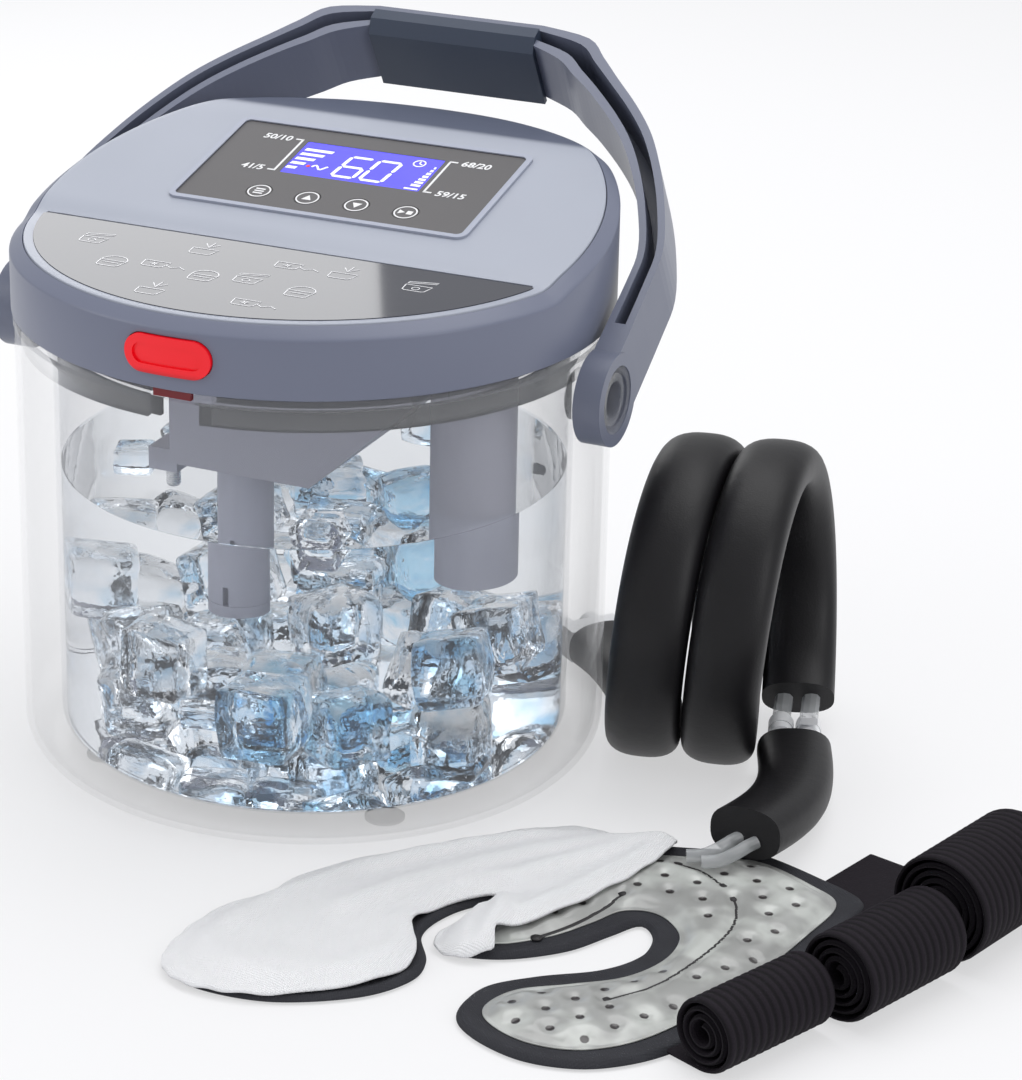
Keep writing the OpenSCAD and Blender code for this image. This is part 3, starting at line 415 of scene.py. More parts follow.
def all_materials():
    """Every finish by a short name: the two tables, then those with a pattern of their own."""
    m = {key: moulded(name, rgb(*colour), *rest) for key, (name, colour, *rest) in MOULDED.items()}
    m.update({key: clear_plastic(name, rgb(*colour), *rest)
              for key, (name, colour, *rest) in CLEAR.items()})

    def finish_of(key, name, **values):
        net = Net(name, **values)
        m[key] = net.material
        return net

    steel = finish_of("steel", "steel", Metallic=1.0, Base_Color=rgb(196, 197, 200))
    steel.set(Roughness=steel.noise(60, 2, stretch=(1, 1, 12)) * 0.15 + 0.2)
    foam = finish_of("foam", "foam_sleeve", Roughness=0.44, Specular_IOR_Level=0.32)
    foam.set(Base_Color=foam.mix(foam.noise(30, 3), rgb(15, 14, 17), rgb(24, 23, 26)))
    foam.bump(foam.noise(1500, 2) * 0.6 + foam.noise(160, 3), 0.12)
    top = finish_of("lid_top", "lid_top_painted_rear_shade", IOR=1.46)
    y = top.place()[1]
    light = top.mix(top.noise(14, 2), rgb(154, 159, 172), rgb(164, 169, 182))
    # Past y 76.5 to 83 the cover turns dark grey: painted shade on its rear slope, which faces
    # away from the light.
    top.set(Base_Color=top.mix(y.above(76.5, 83), light, rgb(92, 98, 116)),
            Roughness=top.noise(40, 2) * 0.08 + 0.34)
    top.bump(top.noise(2600, 1), 0.012)
    lit = finish_of("lit", "display_white", Roughness=0.3, Base_Color=rgb(235, 236, 248))
    lit.set(Emission_Color=lit.mix(lit.noise(300, 1), rgb(238, 240, 255), rgb(225, 228, 250)),
            Emission_Strength=0.35)
    lcd = finish_of("lcd", "display_blue", Roughness=0.18, Coat_Weight=0.4, Coat_Roughness=0.05)
    blue = lcd.mix(lcd.noise(35, 2), rgb(74, 68, 235), rgb(88, 82, 250))
    lcd.set(Base_Color=blue, Emission_Color=blue, Emission_Strength=0.38)
    label = finish_of("label", "label_film", Roughness=0.06, IOR=1.5)
    label.set(Base_Color=label.mix(label.noise(12, 2), rgb(38, 40, 52), rgb(46, 48, 60)))
    water = finish_of("water", "water", Base_Color=(0.95, 0.975, 1, 1), Roughness=0.0,
                      IOR=1.1, Transmission_Weight=1.0)
    water.bump(water.noise(45, 2), 0.25)
    red = finish_of("red", "red_button", Roughness=0.36)
    _, _, z = red.place()
    # Dark red below z 192 to 197, bright red above: painted shade on the button's lower part.
    red.set(Base_Color=red.mix(z.above(192, 197), rgb(112, 4, 18), rgb(250, 0, 26)))
    ice = finish_of("ice", "ice", Roughness=0.04, IOR=1.31, Transmission_Weight=1.0)
    facet = ice.cells(75)
    cloud = (ice.noise(60, 3) * 1.1 + ice.noise(9, 1) * 0.9).above(0.95, 1.3)
    ice.set(Base_Color=ice.mix(cloud, rgb(250, 252, 254), rgb(124, 188, 228)))
    ice.bump(facet + ice.noise(150, 2) * 0.4, 1.5)
    back = finish_of("backing", "pad_border", Roughness=0.8, Specular_IOR_Level=0.25)
    x, y, _ = back.place()
    weave = (x * 5.2).math("SINE") * (y * 5.2).math("SINE")
    back.set(Base_Color=back.mix(back.noise(60, 4), rgb(42, 42, 47), rgb(58, 59, 64)))
    back.bump(weave * 0.5 + back.noise(900, 2), 0.14)
    m["bladder"] = bladder_material()
    cover = finish_of("cover", "cover_cloth", Roughness=0.85, Sheen_Weight=0.35,
                      Sheen_Roughness=0.5)
    x, y, _ = cover.place()
    knit = ((x + y) * 4.4).math("SINE") * ((x - y) * 4.4).math("SINE")
    cover.set(Base_Color=cover.mix(cover.noise(25, 4), rgb(238, 239, 241), rgb(248, 248, 250)))
    cover.bump(knit * 0.4 + cover.noise(220, 4), 0.35)
    strap = finish_of("strap", "strap_web", Roughness=0.8, Specular_IOR_Level=0.18)
    rib = strap.attribute("rib")
    fuzz = strap.noise(1300, 3)
    # Grooves between the ribs darker than the crests: painted shade. The fuzz adds a random tone.
    shade = rib.above(0.05, 0.75) * 0.75 + fuzz * 0.3
    strap.set(Base_Color=strap.mix(shade, rgb(9, 7, 11), rgb(31, 26, 33)))
    strap.bump(fuzz + strap.noise(300, 2), 0.22)
    return m


def bladder_material():
    """Clear grey film with cloudy paler patches, and a dark round weld at each point of
    the pattern where the film is joined."""
    net = Net("bladder_film", Roughness=0.3, Coat_Weight=0.45, Coat_Roughness=0.12)
    x, y, _ = net.place()
    far = None
    for dx, dy in ((0.0, 0.0), (WELD_PITCH / 2, WELD_ROW / 2)):
        px = (x - dx).math("PINGPONG", WELD_PITCH / 2)
        py = (y - dy).math("PINGPONG", WELD_ROW / 2)
        d = (px * px + py * py) ** 0.5
        far = d if far is None else far.math("MINIMUM", d)
    dot = (1 - far.above(1.35, 1.95)) * net.attribute("weld_field")
    cloud = (net.noise(62, 2) * 0.75 + net.noise(24, 2) * 0.4).above(0.5, 0.68)
    film = net.mix(cloud, rgb(160, 161, 159), rgb(194, 197, 193))
    net.set(Base_Color=net.mix(dot, film, rgb(48, 43, 44)))
    net.bump(net.noise(70, 3), 0.5)
    return net.material


# ---- hose route (as in the part)

COIL_YAW = math.radians(13)
COIL_AXIS = np.array([math.cos(COIL_YAW), math.sin(COIL_YAW), 0])
COIL_AWAY = np.array([-math.sin(COIL_YAW), math.cos(COIL_YAW), 0])
COIL_START = np.array([129.9, 48.8, 0]) * MM
COIL_R = 57 * MM
COIL_PITCH = 30.8 * MM
COIL_TURNS = 1.93
HOSE_W, HOSE_T = 30 * MM, 20 * MM
FLOOR_SWEEP = math.radians(33)
FLOOR_R = float(np.linalg.norm(COIL_START))
FLOOR_A = math.atan2(COIL_START[1], COIL_START[0])


def hose_route(floor_steps=24, coil_steps=185):
    """Middle line and sideways direction: an arc round the tank on the floor, then a coil
    whose point at turn t is its start, plus the pitch times t along the axis, and a circle."""
    a = FLOOR_A + FLOOR_SWEEP * np.arange(floor_steps, 0, -1) / floor_steps
    outward = np.column_stack([np.cos(a), np.sin(a), 0 * a])
    turn = (COIL_TURNS * np.arange(coil_steps + 1) / coil_steps)[:, None]
    round_it = 2 * math.pi * turn
    coil = (COIL_START + COIL_AXIS * (COIL_PITCH * turn) - COIL_AWAY * (COIL_R * np.sin(round_it))
            + UP * (HOSE_T / 2 + COIL_R * (1 - np.cos(round_it))))
    path = np.vstack([outward * FLOOR_R + UP * (HOSE_T / 2), coil])
    return path, np.vstack([outward, np.tile(COIL_AXIS, (len(turn), 1))])


def path_length(path):
    """The sum of the distances from each point to the next."""
    return float(np.linalg.norm(np.diff(path, axis=0), axis=1).sum())


SLEEVE_START = np.array([194.7, 47.5, 10]) * MM
SLEEVE_STOP = np.array([207.5, -44, 17]) * MM
COUPLING_DIR = np.array([10.5, -30.5, 0]) / math.hypot(10.5, 30.5)
COUPLING_SIDE = np.array([-COUPLING_DIR[1], COUPLING_DIR[0], 0])


def add_hoses(mats):
    """Foam sleeves: the long one along its route, the short one from couplings to pad."""
    t = np.linspace(0, 1, 40)[:, None]
    bow = np.sin(math.pi * t)
    path = SLEEVE_START + (SLEEVE_STOP - SLEEVE_START) * t + bow * np.array([8, 0, -1.2]) * MM
    short = finish(sweep("short_foam_sleeve", path, COUPLING_SIDE, HOSE_W, HOSE_T),
                   mats["foam"], "tank", "short_sleeve")
    inlets = []
    heading = np.array([-17, 5, 0]) / math.hypot(17, 5)
    for s in (-1, 1):
        start = SLEEVE_STOP / MM + heading * 3.6 * s + [-1, -2.6, -3.6]
        run = [start + [2.5, 3.4, 0.9], start, start + [-3, -5, -1.5], start + [-8, -9, -3.8],
               start + [-14, -12, -4.3]]
        inlets.append(sweep("inlet", catmull(run, 10) * MM, UP, 5.2 * MM, 5.2 * MM, 24, 2))
    inlet = join("pad_inlets", *inlets)
    mark_sharp(inlet, 50)
    finish(inlet, mats["tube"], "tank", "pad_inlet_tubes")
    path, sides = hose_route()
    hose = finish(sweep("hose_sleeve", path, sides, HOSE_W, HOSE_T),
                  mats["foam"], "tank", "hose_coil")


# ---- lid

LID_R_MM, LID_Z_MM, DECK_Z_MM = 121.0, 188.5, 217.0
FACE_TILT = math.radians(12.5)
FACE_Z_MM = 224.6
BEVEL_IN_MM, BEVEL_DROP_MM = 5.7, 4.5
COVER_R_MM = LID_R_MM - BEVEL_IN_MM
RIDGE_Y_MM, REAR_Y_MM = 79.0, 112.0
CREASE_Y_MM, FACE_START_MM = -27.0, -20.0
SOCKET_TURN = 50.0           # degrees round the lid from +X to the power socket


def lid_height(y_mm):
    """Height of the lid's top at y: straight runs, rounded over 3 mm at their joints."""
    slope = math.tan(FACE_TILT)
    ridge = FACE_Z_MM + RIDGE_Y_MM * slope
    ys = [-140, CREASE_Y_MM, FACE_START_MM, RIDGE_Y_MM - 8, RIDGE_Y_MM, REAR_Y_MM, 130]
    zs = [DECK_Z_MM, DECK_Z_MM, FACE_Z_MM + FACE_START_MM * slope, ridge - 8 * slope,
          ridge - 0.8, ridge - 3.2, ridge - 6.2]
    y = np.asarray(y_mm, float)
    offsets = np.linspace(-4, 4, 9)
    return sum(np.interp(y + o, ys, zs) for o in offsets) / len(offsets)


def ring_shell(name, foot, top, steps=288):
    """A ring turned about Z from (radius, height) points: heights in foot are counted
    from the floor, and heights in top from the lid's top at that place."""
    a = np.arange(steps) * 2 * math.pi / steps
    r, z = np.array(foot + top).T
    x, y = np.outer(np.cos(a), r), np.outer(np.sin(a), r)
    rides = np.arange(len(r)) >= len(foot)
    verts = np.stack([x, y, z + lid_height(y) * rides], axis=-1).reshape(-1, 3) * MM
    return face_out(make_mesh(name, verts, grid_faces(steps, len(r), True, True)))


def stadium(w, h, steps=14):
    """A half circle at each end of a straight slot."""
    r, x = h / 2, w / 2 - h / 2
    return arc(x, 0, r, -90, 90, steps) + arc(-x, 0, r, 90, 270, steps)


def through_wall(outline_mm, at_mm, deep_mm, turn_deg=0.0):
    """A cutter that starts at a point and runs along -Y, then turns about the Z axis."""
    stand = Matrix.Rotation(math.radians(90), 4, "X")
    to = Matrix.Translation(Vector(at_mm) * MM)
    return place(prism("cutter", outline_mm, deep_mm),
                 Matrix.Rotation(math.radians(turn_deg), 4, "Z") @ to @ stand)


def add_lid(mats):
    """The lid's grey wall, a ring section from its foot over the bevel, and its cover."""
    r, low, drop = LID_R_MM, LID_Z_MM, -BEVEL_DROP_MM
    foot = [(r - 2.4, low + 0.3), (r - 2.1, low), (r - 0.5, low), (r - 0.1, low + 0.3),
            (r, low + 0.8)]
    lip = COVER_R_MM
    top = [(r, drop - 0.9), (r - 0.12, drop - 0.35), (r - 0.5, drop + 0.1), (r - 1.4, drop + 0.85),
           (lip + 1.1, -1.0), (lip + 0.5, -0.6), (lip + 0.25, -0.9), (lip + 0.2, -3.2),
           (r - 2.6, drop - 3.4), (r - 2.5, drop - 5.0)]
    skirt = ring_shell("lid_wall", foot, top)
    cut(skirt, through_wall(stadium(37.2, 15.7), (0, -100, 202), 30))
    for x, hole_r, turn in ((-30, 8.2, 0), (30, 8.2, 0), (0, 5.7, SOCKET_TURN - 90)):
        cut(skirt, through_wall(circle(0, 0, hole_r, 48), (x, 135, 205.5), 50, turn))
    mark_sharp(skirt, 32)
    finish(skirt, mats["lid"], "lid", "lid_skirt")
    finish(top_cover(), mats["lid_top"], "lid", "lid_top_cover")


def top_cover():
    """A disc that follows the lid's top, closed below by a copy 2.5 mm lower."""
    steps, rings = 224, 56
    a = np.arange(steps) * 2 * math.pi / steps
    r = COVER_R_MM
    radii = np.concatenate([np.linspace(0.8, r - 0.7, rings),
                            [r - 0.25, r, r, r - 2.5, r - 2.5], np.linspace(r - 6, 0.8, 20)])
    drops = np.concatenate([np.zeros(rings), [0.12, 0.6, 6.5, 6.5, 2.7], np.full(20, 2.5)])
    x, y = np.outer(radii, np.cos(a)), np.outer(radii, np.sin(a))
    verts = np.stack([x, y, lid_height(y) - drops[:, None]], axis=-1).reshape(-1, 3) * MM
    faces = grid_faces(len(radii), steps, wrap_cols=True)
    last = (len(radii) - 1) * steps
    faces += [list(range(steps)), list(range(last, last + steps))[::-1]]
    obj = face_out(make_mesh("lid_top", verts, faces))
    cut(obj, prism("cutter", label_outline(0.1), 4, 216.2))
    plate = rounded_rect(PANEL_W_MM + 5.2, PANEL_L_MM + 5.2, 4.6)
    cut(obj, place(prism("cutter", plate, 5), on_face(PANEL_X_MM, PANEL_Y_MM, -0.5)))
    window = rounded_rect(LCD_W_MM + 3, LCD_L_MM + 3, 2)
    cut(obj, place(prism("cutter", window, 9), on_face(LCD_X_MM, LCD_Y_MM, -7)))
    for x in KEYS_X_MM:
        key_hole = arc(0, 0, 6.7, 0, 350, 36)
        cut(obj, place(prism("cutter", key_hole, 9), on_face(x, KEYS_Y_MM, -7)))
    mark_sharp(obj, 28)
    return obj


PANEL_W_MM, PANEL_L_MM = 127.0, 66.0
PANEL_X_MM, PANEL_Y_MM = 1.5, 30.5
LCD_X_MM, LCD_Y_MM, LCD_W_MM, LCD_L_MM = 2.5, 39.5, 62.0, 27.0
KEYS_X_MM, KEYS_Y_MM = (-29.05, -7.35, 14.35, 36.05), 9.0


def on_face(x_mm, s_mm, h_mm):
    """Places a thing on the sloped control face: across, up the slope, out of it."""
    return (Matrix.Translation((0, 0, FACE_Z_MM * MM)) @ Matrix.Rotation(FACE_TILT, 4, "X")
            @ Matrix.Translation((x_mm * MM, s_mm * MM, h_mm * MM)))


def label_outline(play):
    """Half-moon: a chord at the crease and an arc inside the lid's rim, tips rounded."""
    r, y = COVER_R_MM - 4 + play, CREASE_Y_MM + play
    half = math.degrees(math.asin(-y / r))
    return arc(0, 0, r, 180 + half + 1.2, 360 - half - 1.2, 90) + [
        (r * math.cos(math.radians(half)) - 1.8, y), (-r * math.cos(math.radians(half)) + 1.8, y)]


# ---- prints on the panel and label

PANEL_TOP_MM = 0.5           # the overlay's top above the face
LABEL_TOP_MM = 217.38        # the label's print above the floor
KEY_TOP_MM = 0.47            # the keys' and window's print above the face
PRINT_MM = 0.12              # thickness of a printed line, half of it sunk


def words(body, x, y, size_mm=5.6):
    """Numbers as a thin mesh in XY, centred on (x, y) and leaning a little."""
    data = bpy.data.curves.new("numbers", "FONT")
    data.body, data.size, data.shear = body, size_mm * MM, 0.1
    data.align_x, data.align_y = "CENTER", "CENTER"
    data.extrude, data.resolution_u, data.offset = 0.00006, 3, 0.00011
    text = add_object("numbers", data)
    mesh = evaluated(text)
    bpy.data.objects.remove(text)
    return place(add_object("numbers", mesh), Matrix.Translation((x * MM, y * MM, 0)))


def line(points, width_mm, closed=False):
    """A thin flat printed line along points in XY, in millimetres."""
    p = np.column_stack([np.array(points, float), np.zeros(len(points))]) * MM
    if closed:
        p = np.vstack([p, p[:1]])
    d = tangents(p)
    side = np.stack([-d[:, 1], d[:, 0], 0 * d[:, 0]], axis=-1) * width_mm * MM / 2
    up = UP * PRINT_MM * MM / 2
    rims = np.stack([p - side - up, p + side - up, p + side + up, p - side + up], axis=1)
    faces = grid_faces(len(p), 4, wrap_cols=True)
    n = len(p) * 4
    faces += [[0, 1, 2, 3], [n - 1, n - 2, n - 3, n - 4]]
    return face_out(make_mesh("line", rims.reshape(-1, 3), faces, smooth=False))


def block(points):
    """A printed filled outline in XY, in millimetres."""
    return prism("block", points, PRINT_MM, -PRINT_MM / 2)


def digit_bars(digit, x, y, w, h, thick=1.55, lean=0.12):
    """One seven-bar digit: bars with cut ends, leaning right by lean times height."""
    lit = {"0": "abcdef", "6": "acdefg"}[digit]
    g, t = 0.28, thick / 2

    def flat(yy):
        left, right = g + t, w - t - g
        return [(left, yy), (left + t, yy + t), (right - t, yy + t), (right, yy),
                (right - t, yy - t), (left + t, yy - t)]

    def tall(xx, low, high):
        low, high = low + g, high - g
        return [(xx, low), (xx + t, low + t), (xx + t, high - t), (xx, high),
                (xx - t, high - t), (xx - t, low + t)]

    bars = {"a": flat(h - t), "g": flat(h / 2), "d": flat(t),
            "f": tall(t, h / 2, h - t), "b": tall(w - t, h / 2, h - t),
            "e": tall(t, t, h / 2), "c": tall(w - t, t, h / 2)}
    return [block([(x + px + lean * py, y + py) for px, py in bars[k]]) for k in lit]


def printed(name, parts, matrix, look, body):
    """Joins flat printed parts and lays them where the matrix says."""
    obj = place(join(name, *parts), matrix)
    obj.data.polygons.foreach_set("use_smooth", [False] * len(obj.data.polygons))
    finish(obj, look, body)


def add_prints(mats):
    """Scale numbers, brackets, the display's digits and bars, key rings and signs."""
    runs = (((-31.2, 53.6), (-31.2, 26.6), 0.95), ((-34.4, 53.4), (-30.8, 53.4), 0.9),
            ((-34.4, 26.8), (-30.8, 26.8), 0.9), ((35.9, 52.6), (35.9, 26.2), 0.95),
            ((35.5, 52.4), (39.2, 52.4), 0.9), ((35.5, 26.4), (39.2, 26.4), 0.9))
    scale = [line([start, stop], wide) for start, stop, wide in runs]
    scale += [words("50/10", -42.6, 53.0), words("41/5", -41.4, 27.2),
              words("68/20", 47.3, 52.0), words("59/15", 47.4, 26.4)]
    # A dark line all round the panel's rim: painted shade standing for the shaded gap between
    # overlay and frame.
    gap = line([(PANEL_X_MM + px, PANEL_Y_MM + py) for px, py in
                rounded_rect(PANEL_W_MM + 0.1, PANEL_L_MM + 0.1, 2.5)], 0.55, closed=True)
    printed("panel_painted_shade_line", [gap], on_face(0, 0, PANEL_TOP_MM + 0.02), mats["gap"], "lid")
    printed("panel_scale", scale, on_face(0, 0, PANEL_TOP_MM + 0.06), mats["ink"], "lid")

    shown = digit_bars("6", -7.6, 28.2, 11.2, 18.2) + digit_bars("0", 5.0, 28.2, 11.2, 18.2)
    for k, length in enumerate((12.5, 10.4, 8.4, 6.2, 4.4)):
        y = 45.6 - 3.9 * k
        x = -26.8 - 0.3 * k
        shown.append(block([(x, y), (x + length, y), (x + 0.4 + length, y + 1.9),
                            (x + 0.4, y + 1.9)]))
    wave = [(-17.5 + 0.75 * i, 33.4 + 1.5 * math.sin(i * 0.85)) for i in range(10)]
    shown.append(line(wave, 0.9))
    shown.append(line(circle(24.2, 47.8, 2.5), 0.55, closed=True))
    shown.append(line([(24.2, 47.8), (24.2, 49.5)], 0.5))
    shown.append(line([(24.2, 47.8), (25.6, 47.1)], 0.5))
    for k in range(7):
        x, y = 31.6 - 0.55 * k, 45.0 - 2.55 * k
        shown.append(block([(x, y), (32.4, y), (32.4, y + 1.6), (x, y + 1.6)]))
    shown.append(block([(26.6, 26.9), (32.6, 26.9), (32.6, 27.9), (26.6, 27.9)]))
    printed("display_figures", shown, on_face(0, 0, KEY_TOP_MM), mats["lit"], "lid")
    printed("display_dot", [block(circle(-19.2, 33.6, 0.9, 20))], on_face(0, 0, KEY_TOP_MM),
            mats["lit_red"], "lid")

    y = KEYS_Y_MM
    signs = {"key_mode": lambda x: [line([(x - 2.1, y + d), (x + 2.1, y + d)], 0.85)
                                    for d in (-1.7, 0, 1.7)],
             "key_up": lambda x: [block([(x - 2.1, y - 1.5), (x + 2.1, y - 1.5), (x, y + 2.2)])],
             "key_down": lambda x: [block([(x - 2.1, y + 1.5), (x, y - 2.2), (x + 2.1, y + 1.5)])],
             "key_run": lambda x: [block([(x - 3, y - 1.5), (x - 0.3, y), (x - 3, y + 1.5)]),
                                   block([(x + 0.5, y - 1.3), (x + 2.9, y - 1.3),
                                          (x + 2.9, y + 1.3), (x + 0.5, y + 1.3)])]}
    for x, (key, sign) in zip(KEYS_X_MM, signs.items()):
        ring = line(circle(x, y, 4.55, 44), 0.62, closed=True)
        printed("mark_" + key, [ring] + sign(x), on_face(0, 0, KEY_TOP_MM), mats["ink"], key)

    signs = []
    for k, (x, y) in enumerate(SIGNS_AT_MM):
        signs += pictogram(x, y, k)
    printed("label_signs", signs, Matrix.Translation((0, 0, LABEL_TOP_MM * MM)),
            mats["faint_ink"], "lid")


SIGNS_AT_MM = ((-51, -73), (-72, -50), (-35, -66), (-26, -44), (-11, -73), (6, -68), (12, -45),
               (36, -47), (31, -74), (68, -48), (18, -92), (-21, -96))


def pictogram(x, y, kind):
    """Plain outline signs: a tub with a handle, with a flap and a port, with a hose and a
    flake, or with an arrow into it."""
    tub = [(x - 5.5, y + 2), (x - 4.6, y - 3.6), (x - 3.6, y - 4.4), (x + 3.6, y - 4.4),
           (x + 4.6, y - 3.6), (x + 5.5, y + 2)]
    parts = [line(tub, 0.4, closed=True)]
    if kind % 4 == 0:
        parts.append(line(arc(x, y + 2, 5.5, 0, 180, 14), 0.4))
        parts.append(line([(x - 3.5, y - 0.5), (x + 3.5, y - 0.5)], 0.35))
    elif kind % 4 == 1:
        flap = [(x - 5.5, y + 3.6), (x + 5.5, y + 6.4), (x + 5.5, y + 8), (x - 5.5, y + 5.2)]
        parts.append(line(flap, 0.4, closed=True))
        parts.append(line(circle(x, y - 1.4, 1.5, 16), 0.35, closed=True))
    elif kind % 4 == 2:
        parts.append(line([(x + 5, y - 1), (x + 8, y - 3), (x + 11, y - 1), (x + 14, y - 3)], 0.4))
        for a in (0, 60, 120):
            c, s = 1.9 * math.cos(math.radians(a)), 1.9 * math.sin(math.radians(a))
            parts.append(line([(x - c, y - 1.3 - s), (x + c, y - 1.3 + s)], 0.35))
    else:
        parts.append(line([(x - 3, y + 8.4), (x, y + 4), (x + 3, y + 8.4)], 0.4))
        parts.append(line([(x, y + 10.4), (x, y + 4.2)], 0.4))
    return parts


# ---- water and ice

FLOATING_ICE = (((-62, 8, 113), 8.5), ((-44, 34, 114), 8), ((-70, -24, 113.5), 7.5),
                ((34, -62, 113.5), 8), ((22, 62, 113.5), 8.5))


def add_water(mats):
    """A body turned about the Z axis from an outline of (radius, height) points, with
    flat ends. It stands 0.6 up the liner's wall at its edge."""
    outline = np.array([(101.5, 10.2), (102.7, 11.5), (102.7, 122.1), (101.8, 121.5)]) * MM
    steps, n = 200, len(outline)
    a = np.arange(steps) * 2 * math.pi / steps
    verts = np.stack([np.outer(np.cos(a), outline[:, 0]), np.outer(np.sin(a), outline[:, 0]),
                      np.tile(outline[:, 1], (steps, 1))], axis=-1).reshape(-1, 3)
    faces = grid_faces(steps, n, wrap_rows=True)
    faces += [list(range(0, n * steps, n)), list(range(n - 1, n * steps, n))]
    water = face_out(make_mesh("water", verts, faces))
    mark_sharp(water, 30)
    finish(water, mats["water"], "tank")


def add_ice(mats):
    """Seeded ice in two piles, kept apart by a least distance. A block is a cube whose
    points beyond 0.78 of its half size are drawn in to a round edge."""
    rng = np.random.default_rng(23)
    found = [(np.array(p, float), s) for p, s in FLOATING_ICE]
    for _ in range(60000):
        if len(found) >= 36:
            break
        r, a = 87 * math.sqrt(rng.random()), 2 * math.pi * rng.random()
        p = np.array([r * math.cos(a), r * math.sin(a), 24 + 48 * rng.random()])
        across, near = p[:2] @ (0.8925, 0.451), p[:2] @ (0.451, -0.8925)
        top = 66 + 10 * math.cos(across / 16)
        open_water = 16 < across < 34 and p[2] > 34
        by_stem = abs(across + 28) < 25 and near > -12 and p[2] > 44
        by_column = math.hypot(p[0] - 80, p[1] + 20) < 34 and p[2] > 68
        if p[2] > top or open_water or by_stem or by_column:
            continue
        if all(np.linalg.norm(p - q) > 26.2 for q, _ in found):
            found.append((p, 12.6 + 1.6 * rng.random()))
    t = np.linspace(-1, 1, 8)
    u, v = [g.ravel() for g in np.meshgrid(t, t, indexing="ij")]
    one = np.ones_like(u)
    sides = [(one, u, v), (-one, v, u), (v, one, u), (u, -one, v), (u, v, one), (v, u, -one)]
    base = np.concatenate([np.stack(s, -1) for s in sides])
    core = np.clip(base, -0.78, 0.78)
    out = base - core
    far = np.linalg.norm(out, axis=1)[:, None]
    unit = core + 0.22 * out / np.maximum(far, 1e-9) * (far > 1e-9)
    quads = np.concatenate([np.array(grid_faces(8, 8)) + 64 * k for k in range(6)])
    verts, faces = [], []
    for k, (p, half) in enumerate(found):
        lean = 0.3 * rng.random()
        tilt = Matrix.Rotation(lean, 3, Vector((rng.normal(), rng.normal(), 0)).normalized())
        turn = np.array(Matrix.Rotation(rng.random() * 6.28, 3, "Z") @ tilt)
        size = (half + 1.4 * rng.random(3)) * MM
        lump = unit * size * (1 + 0.05 * np.sin(3.1 * unit[:, [1, 2, 0]] + rng.random(3) * 6))
        verts.append(lump @ turn.T + p * MM)
        faces.append(quads + len(unit) * k)
    ice = face_out(make_mesh("ice_blocks", np.concatenate(verts), np.concatenate(faces)),
                   merge=0.02 * MM)
    ice.data.polygons.foreach_set("use_smooth", [True] * len(ice.data.polygons))
    finish(ice, mats["ice"], "tank")


# ---- wrap pad, cover and straps

PAD_LOOP = [
    (186, -36), (199, -31), (212, -30), (236, -38), (258, -49), (260, -66), (254, -100),
    (250, -130), (243, -160), (234, -184), (222, -200), (207, -210), (187, -213), (166, -206),
    (155, -194), (156, -174), (170, -158), (189, -143), (198, -127), (197, -111), (189, -103),
    (182, -115), (173, -132), (160, -145), (148, -152), (136, -154), (131, -146), (132, -130),
    (138, -112), (133, -110), (122, -126), (119, -146), (129, -164), (130, -180), (118, -199),
    (91, -216), (62, -219), (47, -210), (43, -192), (45, -168), (57, -146), (62, -127),
    (74, -108), (90, -90), (110, -70), (134, -47), (156, -46), (174, -40)]
BLADDER_LOOP = [
    (192, -44), (212, -38), (236, -47), (250, -58), (248, -86), (242, -124), (234, -156),
    (222, -184), (206, -200), (187, -204), (170, -198), (163, -188), (168, -172), (184, -159),
    (200, -145), (208, -126), (206, -107), (193, -95), (180, -98), (173, -112), (164, -128),
    (150, -142), (141, -142), (143, -124), (148, -106), (133, -99), (118, -112), (109, -136),
    (119, -166), (116, -184), (91, -206), (66, -208), (55, -196), (56, -170), (68, -140),
    (84, -112), (110, -84), (138, -60), (168, -52)]
COVER_LOOP = [
    (178, -40), (179, -62), (170, -96), (158, -126), (148, -142), (150, -152), (139, -158),
    (127, -153), (125, -139), (132, -122), (139, -112), (131, -112), (119, -127), (115, -146),
    (125, -164), (126, -180), (114, -199), (88, -217), (60, -221), (44, -211), (40, -192),
    (42, -167), (54, -148), (58, -127), (70, -108), (87, -89), (107, -68), (133, -43), (156, -42)]
SLITS = [[(185, -56.5), (196, -58.5), (208, -66.5)],
         [(214.5, -74), (219.7, -84), (222.4, -98.6), (220, -122), (213, -149), (201, -167)],
         [(159.5, -133), (168.7, -114.5), (175.7, -88)]]


def distance_to(points, run, closed=True):
    """Shortest distance from each point to a run of straight lines."""
    a = np.asarray(run, float)
    b = np.roll(a, -1, axis=0)
    if not closed:
        a, b = a[:-1], b[:-1]
    d = b - a
    t = ((points[:, None] - a) * d).sum(2) / np.maximum((d * d).sum(1), 1e-9)
    near = a + np.clip(t, 0, 1)[..., None] * d
    return np.linalg.norm(points[:, None] - near, axis=2).min(1)


def inside(points, loop):
    """True where a level line from the point crosses the loop an odd number of times."""
    a = np.asarray(loop, float)
    b = np.roll(a, -1, axis=0)
    x, y = points[:, :1], points[:, 1:]
    cross = (a[:, 1] > y) != (b[:, 1] > y)
    rise = b[:, 1] - a[:, 1]
    at = a[:, 0] + (y - a[:, 1]) * (b[:, 0] - a[:, 0]) / np.where(rise == 0, 1, rise)
    return (cross & (x < at)).sum(1) % 2 == 1


def smooth_loop(loop, spacing):
    """The part's own smooth outline, with points about spacing apart."""
    fine = catmull(loop, 12, closed=True)
    step = np.linalg.norm(np.roll(fine, -1, axis=0) - fine, axis=1)
    along = np.concatenate([[0], np.cumsum(step)])
    count = int(along[-1] / spacing)
    wrap = np.vstack([fine, fine[:1]])
    want = np.linspace(0, along[-1], count, endpoint=False)
    return np.stack([np.interp(want, along, wrap[:, k]) for k in (0, 1)], axis=-1)


